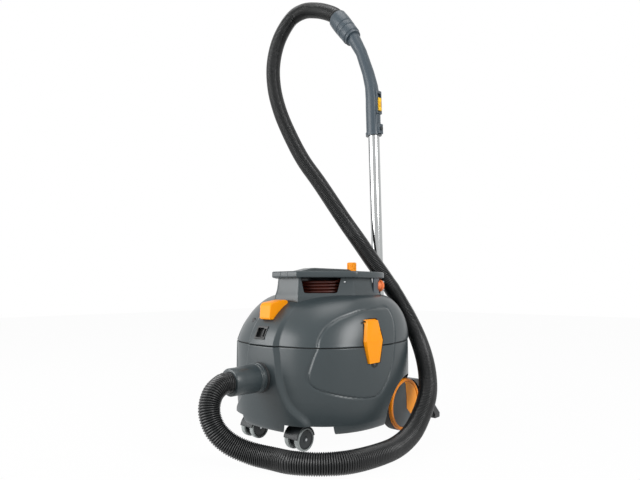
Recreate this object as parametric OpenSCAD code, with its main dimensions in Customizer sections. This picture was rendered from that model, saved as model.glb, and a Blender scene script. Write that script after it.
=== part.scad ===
// Canister vacuum cleaner for dry floors: a tub on wheels, a lift-off head with
// a cable store under its ring handle, and a hose and wand parked behind it.
// Millimetres, +Z up, the hose inlet faces -Y, the origin is on the floor.

/* [Body] */
// Half of the body's width at the seam
body_half_w = 195; // [180:1:210]
// How far the body's plan reaches forward of the origin
body_front = 200; // [185:1:215]
// How far the body's plan reaches back from the origin
body_rear = 205; // [190:1:215]
// Roundness of the plan: 2 is an ellipse, more is squarer
plan_power = 2.5; // [2.2:0.1:3.2]
// Wall thickness of the tub and the dome
wall = 4; // [3:0.5:5]
// Height of the tub's lower edge above the floor
tub_bottom_z = 42; // [36:1:46]
// Height of the floor inside the tub
tub_floor_z = 75; // [70:1:90]
// Height of the seam between the tub and the head
seam_z = 225; // [215:1:235]
// Visible gap at the seam
seam_gap = 2.4; // [1.6:0.2:4]
// Height of the top of the dome
dome_top_z = 336; // [330:1:344]
// Half of the dome's width where the neck stands on it
dome_top_half = 128; // [120:1:134]
// How far the top of the dome reaches forward of the origin
dome_top_front = 78; // [70:1:110]
// Shape of the dome's side shoulders: 1 is a cone, 2 is an ellipse
shoulder_power = 2.2; // [1.6:0.05:2.4]
// Shape of the dome's front slope
front_power = 1.7; // [1.4:0.05:2]
// Shape of the dome's rear slope
rear_power = 1.4; // [1.2:0.05:2]

/* [Front panel] */
// How far the front panel stands out of the body
panel_proud = 9; // [4:1:12]
// Half of the front panel's width above the seam
panel_half_w = 39; // [34:1:46]
// How far the side panels stand out of the body
side_proud = 2; // [1:0.5:3]

/* [Neck and ring] */
// Height of the underside of the ring handle
ring_z = 376; // [372:1:384]
// Thickness of the ring handle
ring_t = 15; // [12:1:18]
// Half of the ring's width
ring_half = 136; // [130:1:142]
// Width of the ring's band, seen from above
ring_band = 34; // [28:1:40]
// Wall of the neck
neck_wall = 4; // [3:0.5:5]
// How far the ring stands out past the neck
ring_overhang = 13; // [10:1:16]
// Height of the carrying handle's top
grip_top_z = 401; // [397:1:406]
// Width of the carrying handle
grip_w = 34; // [28:1:40]

/* [Mains lead] */
// Diameter of the mains lead
lead_d = 7; // [6:0.5:7]
// Distance between neighbouring turns of the lead
lead_pitch = 7.6; // [7.5:0.05:7.8]
// Rows of turns on the drum
lead_rows = 4; // [2:1:4]
// Radius of the outermost turns, at the middle of the lead
lead_r = 93; // [88:1:95]
// Radius of the drum
drum_r = 58; // [50:1:64]
// Diameter of the plug's flange
plug_d = 31; // [29:0.5:31]

/* [Wheels] */
// Diameter of the rear wheels
wheel_d = 130; // [124:1:134]
// Width of a rear tyre
wheel_w = 34; // [26:1:38]
// Distance of a rear wheel's outer face from the middle
wheel_face_x = 168; // [160:1:174]
// Place of the rear axle along the body
axle_y = 120; // [114:1:124]
// Diameter of the rear axle
axle_d = 12; // [10:1:16]
// Radius of the wheel arch
arch_r = 100; // [94:1:104]
// Diameter of the caster wheels
caster_d = 50; // [44:1:54]
// Width of one caster wheel
caster_w = 13; // [10:1:14]
// Distance of the casters from the middle
caster_x = 73; // [66:1:80]
// Place of the caster stems along the body
caster_y = -142; // [-150:1:-136]
// How far a caster's axle is from its stem
caster_trail = 18; // [14:1:22]
// Diameter of the caster stem
stem_d = 8; // [6:1:10]
// Radial clearance of everything that turns or slides
run_gap = 0.05; // [0.02:0.01:0.08]

/* [Latches] */
// Height of a latch
latch_h = 96; // [84:1:104]
// Width of a latch at its middle
latch_w = 60; // [50:1:66]
// Width of a latch at its ends
latch_end_w = 36; // [30:1:42]
// Thickness of a latch
latch_t = 9; // [7:1:11]
// Place of the latches along the body
latch_y = -50; // [-60:1:-40]

/* [Hose and wand] */
// Outside diameter of the hose
hose_d = 44; // [40:1:46]
// Inside diameter of the hose
hose_bore = 34; // [30:1:36]
// Number of ribs on the hose
hose_ribs = 180; // [100:1:200]
// Height of the inlet above the floor
inlet_z = 155; // [150:1:160]
// Diameter of the inlet's bore
inlet_bore = 50; // [46:1:52]
// Diameter of the steel tube
tube_d = 32; // [30:1:35]
// Wall of the steel tube
tube_wall = 1.2; // [1:0.1:2]
// Length of the steel tube
tube_l = 716; // [680:1:740]
// Place of the wand's foot behind the origin
wand_y = 256; // [250:1:262]
// How far the parked wand leans forward, in degrees
wand_lean = 2.8; // [0:0.1:4]
// Width of the floor tool
tool_w = 336; // [280:2:360]
// Depth of the floor tool, which stands on its front edge
tool_h = 98; // [90:1:110]

/* [Hidden] */
$fn = 48;
around = 56;                       // points round one section of the body
seam_low = seam_z - seam_gap / 2;  // top edge of the tub
seam_high = seam_z + seam_gap / 2; // lower edge of the head
seat = 0.3;                        // gap between pieces of different bodies
grey = "#5c6466";
dark = "#2e3335";
orange = "#ff9f00";
black = "#17191a";
steel = "#b9bcbe";
slate = "#47525a";

// ---------- shared shapes ----------

function side(v) = v < 0 ? -1 : 1;

// One closed plan at height z: half width a, reach f forward and r back, power n before and m behind.
function plan(a, f, r, n, z, m = 0) = [
    for (i = [0:around - 1]) let (t = 360 * i / around, c = cos(t), s = sin(t), e = 2 / (s < 0 || m == 0 ? n : m))
        [a * side(c) * pow(abs(c), e), (s < 0 ? f : r) * side(s) * pow(abs(s), e), z]
];

// A closed solid through plans of equal length, first to last.
module skin(rings) {
    m = len(rings[0]);
    last = (len(rings) - 1) * m;
    sides = [for (j = [0:len(rings) - 2], i = [0:m - 1]) let (a = j * m + i, b = j * m + (i + 1) % m)
        each [[a, a + m, b + m], [a, b + m, b]]];
    caps = [for (i = [1:m - 2]) each [[0, i, i + 1], [last, last + i + 1, last + i]]];
    polyhedron(points = [for (r = rings) each r], faces = concat(sides, caps));
}

// Swelling of the tub at height z, as a share of its size at the seam.
function swell(z) = lookup(z, [[tub_bottom_z, 0.955], [tub_bottom_z + 6, 0.975], [tub_bottom_z + 18, 0.988],
    [110, 1.004], [165, 1.006], [seam_z, 1]]);
function tub_plan(z, grow, fore = 0) = let (k = swell(z))
    plan(body_half_w * k + grow, body_front * k + grow + fore, body_rear * k + grow, plan_power, z);
tub_levels = [tub_bottom_z, tub_bottom_z + 6, tub_bottom_z + 18, 110, 165, seam_low];

// The dome narrows from the seam to the neck along superellipses, and its plan grows rounder in front.
function shoulder(z, power) = let (t = min(1, max(0, (z - seam_high) / (dome_top_z - seam_high))))
    pow(1 - pow(t, power), 1 / power);
function dome_front(z) = dome_top_front + (body_front - dome_top_front) * shoulder(z, front_power);
function dome_plan(z, grow, fore = 0) = let (top = dome_top_half, k = 1 - shoulder(z, 0.7))
    plan(top + (body_half_w - top) * shoulder(z, shoulder_power) + grow, dome_front(z) + grow + fore,
        top + (body_rear - top) * shoulder(z, rear_power) + grow, plan_power - 0.5 * k, z, plan_power + 0.3 * k);
function dome_levels(top) = [for (t = [0, 0.2, 0.4, 0.6, 0.76, 0.88, 0.96, 1]) seam_high + (top - seam_high) * t];

module tub_form(grow, fore = 0, bottom = tub_bottom_z)
    skin([for (z = tub_levels) if (z >= bottom) tub_plan(z, grow, fore)]);

module dome_form(grow, fore = 0)
    skin([for (z = dome_levels(dome_top_z)) dome_plan(z, grow, fore * (1 - (z - seam_high) / (dome_top_z - seam_high)))]);

// An outline drawn in Y and Z, run along X from x0 to x1.
module along_x(x0, x1) translate([x0, 0, 0]) rotate([90, 0, 90]) linear_extrude(x1 - x0) children();
// An outline drawn in X and Z, run along Y from y0 to y1.
module along_y(y0, y1) translate([0, y1, 0]) rotate([90, 0, 0]) linear_extrude(y1 - y0) children();
module both_sides() { children(); mirror([1, 0, 0]) children(); }

// Outline of the front panel: narrow above, spreading to the caster arches below.
module front_outline() {
    half = [[panel_half_w, 312], [panel_half_w - 1, seam_z], [43, 200], [49, 153], [62, 118], [77, 94], [112, 66],
        [112, tub_bottom_z - 1]];
    polygon(concat(half, [for (i = [len(half) - 1:-1:0]) [-half[i][0], half[i][1]]]));
}

// Outline of the raised side panels, drawn in Y and Z.
module side_outline()
    polygon([[20, 309], [-25, 306], [-66, 301], [-113, 286], [-142, 267], [-160, 243], [-170, 212], [-178, 172],
        [-178, 152], [-168, 138], [-148, 130], [-112, 120], [-75, 114], [-50, 113], [-27, 119], [-8, 138], [9, 160],
        [22, 192], [28, 225], [31, 255], [31, 285], [28, 303]]);

// ---------- latches ----------

latch_mid_z = seam_z + 11;
latch_top_z = latch_mid_z + latch_h / 2;
latch_low_z = latch_mid_z - latch_h / 2;
latch_face_x = body_half_w + 1.5;   // outer face of a closed latch
latch_lean = 6;                     // how far its top leans in with the dome
latch_pin_r = 2;
latch_pin_x = latch_face_x - latch_lean - latch_t / 2 - 3;
latch_pin_z = latch_top_z - 5;
latch_gap = 1.2;

module latch_outline(grow) {
    w = latch_w / 2 + grow;
    e = latch_end_w / 2 + grow;
    translate([latch_y, 0])
        polygon([[-e, latch_low_z - grow], [e, latch_low_z - grow], [w, latch_mid_z], [e, latch_top_z + grow],
            [-e, latch_top_z + grow], [-w, latch_mid_z]]);
}
// Edge-on shape of a latch, from depth x0 to x1 behind its face.
module latch_section(front, back)
    polygon([[latch_face_x - front, latch_low_z - 20], [latch_face_x - front, latch_mid_z],
        [latch_face_x - latch_lean - front, latch_top_z + 4], [latch_face_x - latch_lean - back, latch_top_z + 4],
        [latch_face_x - back, latch_mid_z], [latch_face_x - back, latch_low_z - 20]]);

module latch_one() color(orange) difference() {
    intersection() {
        along_x(140, 240) latch_outline(0);
        along_y(-120, 20) union() {
            difference() {
                latch_section(0, latch_t);
                translate([150, latch_pin_z + 2]) square([60, 60]);
            }
            translate([latch_pin_x, latch_pin_z]) circle(4.4);
        }
    }
    translate([latch_pin_x, latch_y, latch_pin_z]) rotate([90, 0, 0])
        cylinder(r = latch_pin_r + run_gap, h = 2 * latch_w, center = true);
    // finger lip under the lower end
    translate([latch_face_x - latch_t, latch_y, latch_low_z]) rotate([90, 0, 0])
        cylinder(r = 5, h = latch_end_w - 8, center = true);
}
module latch_left() latch_one();
module latch_right() mirror([1, 0, 0]) latch_one();
module latch_pins() color(steel) both_sides() translate([latch_pin_x, latch_y, latch_pin_z]) rotate([90, 0, 0])
    cylinder(r = latch_pin_r, h = latch_end_w + 12, center = true);

// The pocket that a closed latch lies in, cut from tub and head alike.
module latch_pocket() both_sides() {
    intersection() {
        along_x(140, 260) latch_outline(latch_gap);
        along_y(-120, 20) union() {
            latch_section(-40, latch_t + 1);
            translate([latch_pin_x, latch_pin_z]) circle(5.6);
        }
    }
    translate([latch_pin_x, latch_y, latch_pin_z]) rotate([90, 0, 0])
        cylinder(r = latch_pin_r + 0.3, h = latch_end_w + 13, center = true);
    // finger hollow below the latch
    translate([latch_face_x + 4, latch_y, latch_low_z - 5]) scale(1) sphere(r = 15, $fn = 24);
}
// Thickened wall behind the pocket.
module latch_pad(z0, z1) both_sides() intersection() {
    along_x(140, 260) latch_outline(7);
    along_y(-120, 20) latch_section(2, latch_t + 1 + wall);
    translate([120, -120, z0]) cube([100, 140, z1 - z0]);
}

// ---------- tub ----------

arch_y = 98;            // middle of the wheel arches
arch_z = 43;
arch_in_x = wheel_face_x - wheel_w - 6;
axle_z = wheel_d / 2;
well_top_z = 60;
well_r = caster_trail + caster_d / 2 + 10;
inlet_r = inlet_bore / 2 + 5;
panel_y = -body_front - panel_proud;   // front face of the front panel
bush_r = stem_d / 2 + 4;
plate_t = 3;

module wheel_arches(grow) both_sides() translate([arch_in_x - grow, arch_y, arch_z]) rotate([0, 90, 0])
    cylinder(r = arch_r + grow, h = 100, $fn = 72);
module caster_wells(grow, top) both_sides() for (p = [[caster_x, caster_y, well_r], [caster_x + 23, caster_y - 6, well_r + 6]])
    translate([p[0], p[1], tub_bottom_z - 10]) cylinder(r = p[2] + grow, h = top - tub_bottom_z + 10);

module tub() color(grey) difference() {
    union() {
        difference() {
            union() {
                tub_form(0);
                intersection() {
                    tub_form(0, panel_proud);
                    along_y(-body_front - 20, -100) front_outline();
                }
                intersection() {
                    tub_form(side_proud);
                    both_sides() along_x(100, 230) side_outline();
                }
            }
            skin(concat([tub_plan(tub_floor_z, -wall - 6)],
                [for (z = [tub_floor_z + 8, 110, 165, seam_low + 1]) tub_plan(z, -wall)]));
        }
        intersection() {
            tub_form(-wall / 2);
            wheel_arches(wall);
        }
        intersection() {
            tub_form(-1);
            latch_pad(latch_low_z - 12, seam_low);
        }
    }
    wheel_arches(0);
    caster_wells(0, well_top_z);
    latch_pocket();
    // room for the inlet socket, the bushes and the axle
    translate([0, panel_y - 1, inlet_z]) rotate([-90, 0, 0]) cylinder(r = inlet_r + seat, h = 60);
    translate([0, panel_y, inlet_z]) rotate([90, 0, 0]) cylinder(r = inlet_r + 4 + seat, h = 20);
    both_sides() translate([caster_x, caster_y, 0]) cylinder(r = bush_r + seat, h = tub_floor_z - 1);
    translate([0, axle_y, axle_z]) rotate([0, 90, 0]) cylinder(r = axle_d / 2 + seat, h = 300, center = true);
    // hollow underside, closed by the base plate
    difference() {
        skin([for (z = [tub_bottom_z - 2, tub_bottom_z + 6, tub_floor_z - wall]) tub_plan(z, -6)]);
        wheel_arches(wall);
        caster_wells(wall, tub_floor_z);
    }
}

module base_plate() color(dark) difference() {
    intersection() {
        tub_form(-6 - seat);
        translate([-250, -250, 0]) cube([500, 500, tub_bottom_z + plate_t]);
    }
    wheel_arches(wall + seat);
    caster_wells(wall + seat, tub_floor_z);
}

module inlet_socket() color(black) translate([0, panel_y, inlet_z]) rotate([90, 0, 0]) difference() {
    union() {
        translate([0, 0, -40]) cylinder(r = inlet_r, h = 41);
        cylinder(r = inlet_r + 4, h = 2.5);
        translate([0, 0, 2.5]) cylinder(r = inlet_r + 3, h = 3.5);
    }
    translate([0, 0, -41]) cylinder(d = inlet_bore, h = 60);
}

module caster_bush() color(steel) translate([caster_x, caster_y, well_top_z - 2]) difference() {
    union() {
        cylinder(r = bush_r, h = 15.5);
        cylinder(r = bush_r + 2, h = 1.8);
    }
    translate([0, 0, -1]) cylinder(r = stem_d / 2 + run_gap, h = 15);
}
module caster_bush_left() caster_bush();
module caster_bush_right() mirror([1, 0, 0]) caster_bush();

module rear_axle() color(steel) translate([0, axle_y, axle_z]) rotate([0, 90, 0])
    cylinder(d = axle_d, h = 2 * wheel_face_x - 16, center = true);

// Clip on the back of the tub that holds the steel tube upright.
holder_z = 150;
holder_h = 24;
module wand_holder() color(dark) {
    y0 = body_rear * 1.006 + seat;
    difference() {
        union() {
            translate([-24, y0, holder_z - 4]) cube([48, 4, holder_h + 8]);
            translate([-9, y0, holder_z]) cube([18, 28, holder_h]);
            at_wand() translate([0, 0, holder_z]) cylinder(r = tube_d / 2 + 5, h = holder_h);
        }
        at_wand() {
            translate([0, 0, holder_z - 10]) cylinder(r = tube_d / 2 + seat, h = holder_h + 20);
            translate([-tube_d * 0.4, 0, holder_z - 10]) cube([tube_d * 0.8, tube_d, holder_h + 20]);
        }
    }
}

bag_y = -108;
collar_t = 4;
socket_end_y = panel_y + 40;
module bag_collar() color(dark) translate([0, socket_end_y + seat, inlet_z]) difference() {
    translate([-44, 0, -44]) cube([88, collar_t, 88]);
    rotate([-90, 0, 0]) translate([0, 0, -1]) cylinder(d = inlet_bore + 2, h = collar_t + 2);
}
// Filled fleece bag on the floor of the tub.
bag_front = bag_y - socket_end_y - collar_t - 2 * seat;
module filter_bag() color("#e6e2d8") translate([0, bag_y, 0]) skin([
    for (p = [[0, 0.72], [0.1, 0.93], [0.45, 1], [0.85, 0.9], [1, 0.45]])
        plan(118 * p[1], bag_front * p[1], 58 * p[1], 2.8, tub_floor_z + seat + 128 * p[0])
]);

// ---------- head ----------

plate_top_z = seam_high + 4;
motor_y = 30;
outlet_x = -6;
outlet_z = 253;
outlet_tilt = 26;
function panel_reach(z) = dome_front(z) + panel_proud * (1 - (z - seam_high) / (dome_top_z - seam_high));
coupler_w = 35;
button_at = [-64, -168, 277];
vent_z = 250;

// Cross-section of the lead coupler, in Y and Z, and of the seat it fits.
module coupler_section()
    polygon([[-186, 281], [-190, 284], [-188, 313], [-182, 319], [-144, 325], [-136, 324], [-133, 321], [-133, 317],
        [-146, 308], [-158, 300], [-174, 281]]);
module coupler_seat()
    polygon([[-230, 280.4], [-173.4, 280.4], [-157.4, 299.6], [-145.6, 307.4], [-132.4, 316.6], [-132.4, 345],
        [-230, 345]]);

module head_shell() color(grey) difference() {
    union() {
        difference() {
            union() {
                dome_form(0);
                intersection() {
                    dome_form(0, panel_proud);
                    along_y(-body_front - 20, -100) front_outline();
                }
                intersection() {
                    dome_form(side_proud);
                    both_sides() along_x(100, 230) side_outline();
                }
            }
            skin([for (z = concat([seam_high - 1], dome_levels(dome_top_z - wall))) dome_plan(z, -wall)]);
        }
        intersection() {
            dome_form(-1);
            latch_pad(seam_high, latch_top_z + 16);
        }
        // thicker wall under the coupler's seat
        intersection() {
            dome_form(-1);
            along_x(outlet_x - 22, outlet_x + 22)
                polygon([[-200, 277], [-169, 277], [-153, 297], [-141, 304], [-128, 312], [-128, 342], [-200, 342]]);
        }
    }
    latch_pocket();
    // seats for the coupler, the outlet and the button
    along_x(outlet_x - coupler_w / 2 - seat, outlet_x + coupler_w / 2 + seat) coupler_seat();
    translate([outlet_x, -panel_reach(outlet_z), outlet_z]) rotate([-outlet_tilt, 0, 0])
        translate([-17.3, -5, -15.8]) cube([34.6, 17.3, 31.6]);
    translate(button_at) translate([0, -20, 0]) rotate([-90, 0, 0]) cylinder(r = 5 + run_gap, h = 60);
    // exhaust slots at the back
    for (i = [0:5]) translate([-55, 100, vent_z + 8 * i]) cube([110, 120, 4]);
}

module head_plate() color(dark) difference() {
    intersection() {
        skin([for (z = dome_levels(dome_top_z - wall)) dome_plan(z, -wall - seat)]);
        translate([-250, -250, 0]) cube([500, 500, plate_top_z]);
    }
    // latch pads and the air inlet of the fan
    both_sides() along_y(-120, 20) translate([body_half_w - wall - latch_t - 6, seam_high - 5]) square([60, 20]);
    translate([0, motor_y, seam_high - 1]) cylinder(r = 34, h = 10);
}

module seam_seal() color(black) difference() {
    skin([for (z = [seam_low + seat, seam_high]) dome_plan(z, -1.5)]);
    skin([for (z = [seam_low, seam_high + 1]) dome_plan(z, -11)]);
    latch_pocket();
}

module motor() color(steel) translate([0, motor_y, 0]) rotate_extrude()
    polygon([[4 + run_gap, 262], [50, 262], [50, 304], [44, 312], [22, 314], [20, 324], [10, 326], [4 + run_gap, 326]]);

fan_r = 64;
module fan_housing() color(dark) translate([0, motor_y, 0]) rotate_extrude()
    polygon([[34, plate_top_z], [76, plate_top_z], [76, 262], [12, 262], [12, 258], [fan_r + 6, 258],
        [fan_r + 6, plate_top_z + 3], [34, plate_top_z + 3]]);
module fan_wheel() color(steel) translate([0, motor_y, 0]) {
    translate([0, 0, 237]) cylinder(r = 4, h = 83);
    translate([0, 0, 237]) cylinder(r = 11, h = 18);
    translate([0, 0, 252]) cylinder(r = fan_r - 2, h = 2);
    translate([0, 0, 237]) difference() {
        cylinder(r = fan_r - 2, h = 1.6);
        translate([0, 0, -1]) cylinder(r = 33, h = 4);
    }
    for (i = [0:8]) rotate([0, 0, 40 * i]) translate([28, 10, 238]) rotate([0, 0, 34]) cube([34, 1.6, 14.4]);
}

module exhaust_filter() color("#d9d7cf") translate([-70, 140, plate_top_z]) cube([140, 16, 58]);

module filter_basket() color("#3b3f41") translate([0, motor_y, 0]) difference() {
    rotate_extrude() polygon([[34, seam_high], [34, seam_high - 3], [68, seam_high - 3], [62, 152], [0, 152],
        [0, 148], [66, 148], [72, seam_high]]);
    for (i = [0:11]) rotate([0, 0, 30 * i]) translate([40, -5, 164]) cube([40, 10, 44]);
}

// ---------- neck, ring and lead ----------

// Distance from the middle to the ring's edge in direction t, drawn in by an inset.
ring_front = body_front - 64.4;
ring_chamfer = ring_half - 14;
function edge(t, inset) = let (c = abs(cos(t)), s = sin(t), a = ring_half - inset, n = 3.2)
    min([pow(pow(c / a, n) + pow(abs(s) / (s < 0 ? ring_front - inset + 12 : a - 2), n), -1 / n),
        s < 0 ? (ring_front - inset) / max(-s, 0.01) : 1000,
        s < 0 ? (ring_chamfer - inset) / max(0.728 * c - 0.685 * s, 0.01) : 1000]);
module outline(inset) polygon([for (t = [2.5:5:357.5]) edge(t, inset) * [cos(t), sin(t)]]);

neck_base_t = 4;
neck_drop = 16;            // how far the neck's foot reaches down the dome's front slope
window_z = dome_top_z + neck_base_t;
post_half = 35;
panel_from_y = -52;
panel_to_y = 43;
module neck() color(grey) difference() {
    union() {
        difference() {
            translate([0, 0, dome_top_z - neck_drop]) linear_extrude(neck_drop + neck_base_t)
                outline(ring_overhang - 4);
            dome_form(0);
        }
        translate([0, 0, dome_top_z]) linear_extrude(ring_z - dome_top_z) outline(ring_overhang);
    }
    translate([0, 0, dome_top_z]) linear_extrude(ring_z) outline(ring_overhang + neck_wall);
    for (sx = [-1, 1]) {
        translate([sx > 0 ? post_half : -post_half - 150, -200, window_z])
            cube([150, 200 + panel_from_y, ring_z - window_z + 1]);
        translate([sx > 0 ? post_half + 5 : -post_half - 155, panel_to_y, window_z])
            cube([150, 150, ring_z - window_z + 1]);
    }
    plug_room();
    both_sides() screw_place() cylinder(r = 2.4, h = 10);
}

module ring_handle() color(grey) {
    difference() {
        union() {
            translate([0, 0, ring_z]) linear_extrude(3) outline(2);
            translate([0, 0, ring_z + 3]) linear_extrude(ring_t - 5) outline(0);
            translate([0, 0, ring_z + ring_t - 2]) linear_extrude(2) outline(2);
            translate([0, knob_y, ring_z + ring_t]) cylinder(r = knob_d / 2 + 1, h = knob_rise);
        }
        translate([0, 0, ring_z - 1]) linear_extrude(ring_t + 2) outline(ring_band);
        translate([0, knob_y, ring_z + 4]) cylinder(r = 4 + run_gap, h = 40);
    }
}

deck_t = 3;
module cord_drum() color(dark) {
    difference() {
        union() {
            translate([0, 0, dome_top_z]) cylinder(r = drum_r, h = ring_z - dome_top_z);
            translate([0, 0, ring_z]) linear_extrude(deck_t) outline(ring_band + 0.2);
        }
        translate([0, 0, dome_top_z + 4]) cylinder(r = drum_r - 4, h = 60);
    }
}

grip_from = -ring_front + ring_band + 1;
grip_to = ring_half - 2 - ring_band - 1;
module carry_handle() color(grey) along_x(-grip_w / 2, grip_w / 2)
    polygon([[grip_from, ring_z + deck_t], [grip_from, ring_z + ring_t], [grip_from + 44, grip_top_z - 1],
        [grip_from + 54, grip_top_z], [grip_to - 12, grip_top_z], [grip_to, grip_top_z - 4],
        [grip_to, ring_z + deck_t], [grip_to - 14, ring_z + deck_t], [grip_to - 26, grip_top_z - 13],
        [grip_from + 50, grip_top_z - 13], [grip_from + 14, ring_z + deck_t]]);

screw_at = [106.6, -44, 366];
module screw_place() translate(screw_at) rotate([0, 90, -43.3]) translate([0, 0, -3.2]) children();
module neck_screws() color("#d8dadb") both_sides() screw_place() cylinder(r = 2.4, h = 4.6);

knob_y = 117;
knob_d = 25;
knob_rise = 6;
knob_h = 23;
module power_knob() color(orange) translate([0, knob_y, ring_z + ring_t + knob_rise + seat]) difference() {
    union() {
        cylinder(d = knob_d, h = knob_h - 2);
        translate([0, 0, knob_h - 2]) cylinder(d1 = knob_d, d2 = knob_d - 4, h = 2);
        translate([0, 0, -10]) cylinder(r = 4, h = 12);
    }
    for (i = [0:11]) rotate([0, 0, 30 * i]) translate([knob_d / 2 + 1.2, 0, 3]) cylinder(r = 2.4, h = knob_h);
}

module reset_button() color(black) translate(button_at) rotate([-90, 0, 0]) translate([0, 0, -4])
    cylinder(r = 5, h = 20);

module brush_outlet() color(black) translate([outlet_x, -panel_reach(outlet_z), outlet_z]) rotate([-outlet_tilt, 0, 0])
    difference() {
        translate([-17, -1, -15.5]) cube([34, 13, 31]);
        translate([-13, -2, -11]) cube([20, 10, 22]);
        translate([9, -2, -9]) cube([5, 8, 18]);
    }

module lead_coupler() color(orange) along_x(outlet_x - coupler_w / 2, outlet_x + coupler_w / 2) coupler_section();

// Plug parked at the left rear corner of the neck, its pins to the back.
plug_at = [111, 88, 358];
plug_l = 38;
module plug() translate(plug_at) rotate([90, 0, 0]) {
    color(orange) rotate_extrude() polygon([[0, 0], [plug_d / 2 - 1, 0], [plug_d / 2, 1], [plug_d / 2, 8],
        [plug_d / 2 - 3, 8], [plug_d / 2 - 3, 12], [8, 18], [6.5, plug_l], [0, plug_l]]);
    color(steel) for (s = [-1, 1]) translate([0, 9.5 * s, -19]) cylinder(d = 4.8, h = 20);
}
// Saddle that the plug rests in, on the neck's floor.
module plug_dock() color(slate) difference() {
    intersection() {
        union() {
            difference() {
                translate([0, 0, dome_top_z + neck_base_t]) linear_extrude(ring_z - dome_top_z - neck_base_t)
                    outline(ring_overhang - 4);
                translate([0, 0, dome_top_z]) linear_extrude(60) outline(ring_overhang - 0.8);
            }
            translate([104, panel_to_y, dome_top_z + neck_base_t]) cube([18, 36, 8]);
        }
        translate([100, panel_to_y + 0.2, 0]) cube([60, 35, 400]);
        translate([0, 0, dome_top_z]) linear_extrude(60) outline(ring_overhang - 4);
    }
    plug_room();
}
// What the plug takes up, with its seat's clearance.
module plug_room() translate(plug_at) rotate([90, 0, 0]) {
    translate([0, 0, -10]) cylinder(r = plug_d / 2 + seat, h = 18 + 2 * seat);
    translate([0, 0, 8]) cylinder(r = plug_d / 2 - 3 + seat, h = 10 + seat);
    cylinder(r = 8 + seat, h = 60);
}

// ---------- rope, hose and tube sweeps ----------

function unit(v) = v / norm(v);
// A point of the smooth curve through p, at whole steps and between them.
function on_curve(p, u) = let (i = min(len(p) - 2, floor(u)), t = u - i, b = p[i], c = p[i + 1],
    a = i > 0 ? p[i - 1] : 2 * b - c, d = i < len(p) - 2 ? p[i + 2] : 2 * c - b)
    0.5 * (2 * b + (c - a) * t + (2 * a - 5 * b + 4 * c - d) * t * t + (3 * b - a - 3 * c + d) * t * t * t);
function curve(p, fine) = [for (i = [0:fine * (len(p) - 1)]) on_curve(p, i / fine)];
function sums(d, i = 0, s = 0, out = []) = i > len(d) ? out :
    sums(d, i + 1, s + (i < len(d) ? d[i] : 0), concat(out, [s]));
function length_along(p) = sums([for (i = [1:len(p) - 1]) norm(p[i] - p[i - 1])]);
// n points at even distances along p.
function even(p, n) = let (s = length_along(p), total = s[len(s) - 1],
    pairs = [for (k = [0:2]) [for (i = [0:len(p) - 1]) [s[i], p[i][k]]]])
    [for (i = [0:n - 1]) let (at = total * i / (n - 1)) [for (k = [0:2]) lookup(at, pairs[k])]];
function heading(p, i) = unit(p[min(i + 1, len(p) - 1)] - p[max(i - 1, 0)]);
// Side directions carried along the line without twisting.
function carried(p, i, v, out) = i >= len(p) ? out :
    let (h = heading(p, i), w = unit(v - h * (h * v))) carried(p, i + 1, w, concat(out, [w]));
function disc(c, h, w, r, n) = let (q = cross(h, w)) [for (k = [0:n - 1]) c + r * (cos(360 * k / n) * w + sin(360 * k / n) * q)];
function rings(p, radii, n) = let (first = heading(p, 0), v = abs(first[2]) < 0.9 ? [0, 0, 1] : [1, 0, 0],
    sides = carried(p, 0, unit(v - first * (first * v)), []))
    [for (i = [0:len(p) - 1]) disc(p[i], heading(p, i), sides[i], radii[min(i, len(radii) - 1)], n)];
module rope(p, radii, n) skin_round(rings(p, radii, n));
// A closed solid through rings that run along a line.
module skin_round(r) {
    m = len(r[0]);
    last = (len(r) - 1) * m;
    sides = [for (j = [0:len(r) - 2], i = [0:m - 1]) let (a = j * m + i, b = j * m + (i + 1) % m)
        each [[a, a + m, b + m], [a, b + m, b]]];
    caps = [for (i = [1:m - 2]) each [[0, i, i + 1], [last, last + i + 1, last + i]]];
    polyhedron(points = [for (q = r) each q], faces = concat(sides, caps));
}
// A tube with a bore: outer rings one way, inner rings back, joined at both ends.
module skin_tube(outer, inner) {
    m = len(outer[0]);
    all = concat(outer, [for (i = [len(inner) - 1:-1:0]) inner[i]]);
    count = len(all);
    faces = [for (j = [0:count - 1], i = [0:m - 1]) let (a = j * m + i, b = j * m + (i + 1) % m,
        c = ((j + 1) % count) * m + i, d = ((j + 1) % count) * m + (i + 1) % m) each [[a, c, d], [a, d, b]]];
    polyhedron(points = [for (q = all) each q], faces = faces);
}

// ---------- mains lead ----------

// Outer layer of the stored lead: one unbroken tube that winds up the drum and ends in the plug's tail.
lead_low_z = dome_top_z + seat + lead_d / 2;
lead_from = 150;
lead_turns = lead_rows - 0.5;
function lead_at(t) = [lead_r * cos(t), lead_r * sin(t), lead_low_z + lead_pitch * (t - lead_from) / 360];
lead_path = concat([for (t = [lead_from:15:lead_from + 360 * lead_turns]) lead_at(t)],
    [[lead_r - 1, -24, plug_at[2] + 14.3], [lead_r + 8.5, 0, plug_at[2] + 12], [plug_at[0] - 3, 20, plug_at[2] + 6],
        [plug_at[0], 38, plug_at[2] + 1], [plug_at[0], plug_at[1] - plug_l - 4, plug_at[2]],
        [plug_at[0], plug_at[1] - plug_l, plug_at[2]]]);
module mains_cord() color("#7a2a12") rope(lead_path, [lead_d / 2], 6);
// Least distance between turns of the lead, from middle to middle, less its thickness.
lead_gap = min([for (i = [0:len(lead_path) - 1], j = [i + 12:1:len(lead_path) - 1])
    norm(lead_path[i] - lead_path[j])]) - lead_d;
// The turns below them, as one wound body.
module cord_core() color("#6a2410") translate([0, 0, dome_top_z]) difference() {
    cylinder(r = lead_r - lead_d / 2 - 1.5, h = ring_z - dome_top_z - 1);
    translate([0, 0, -1]) cylinder(r = drum_r, h = 60);
}

// ---------- wheels ----------

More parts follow.
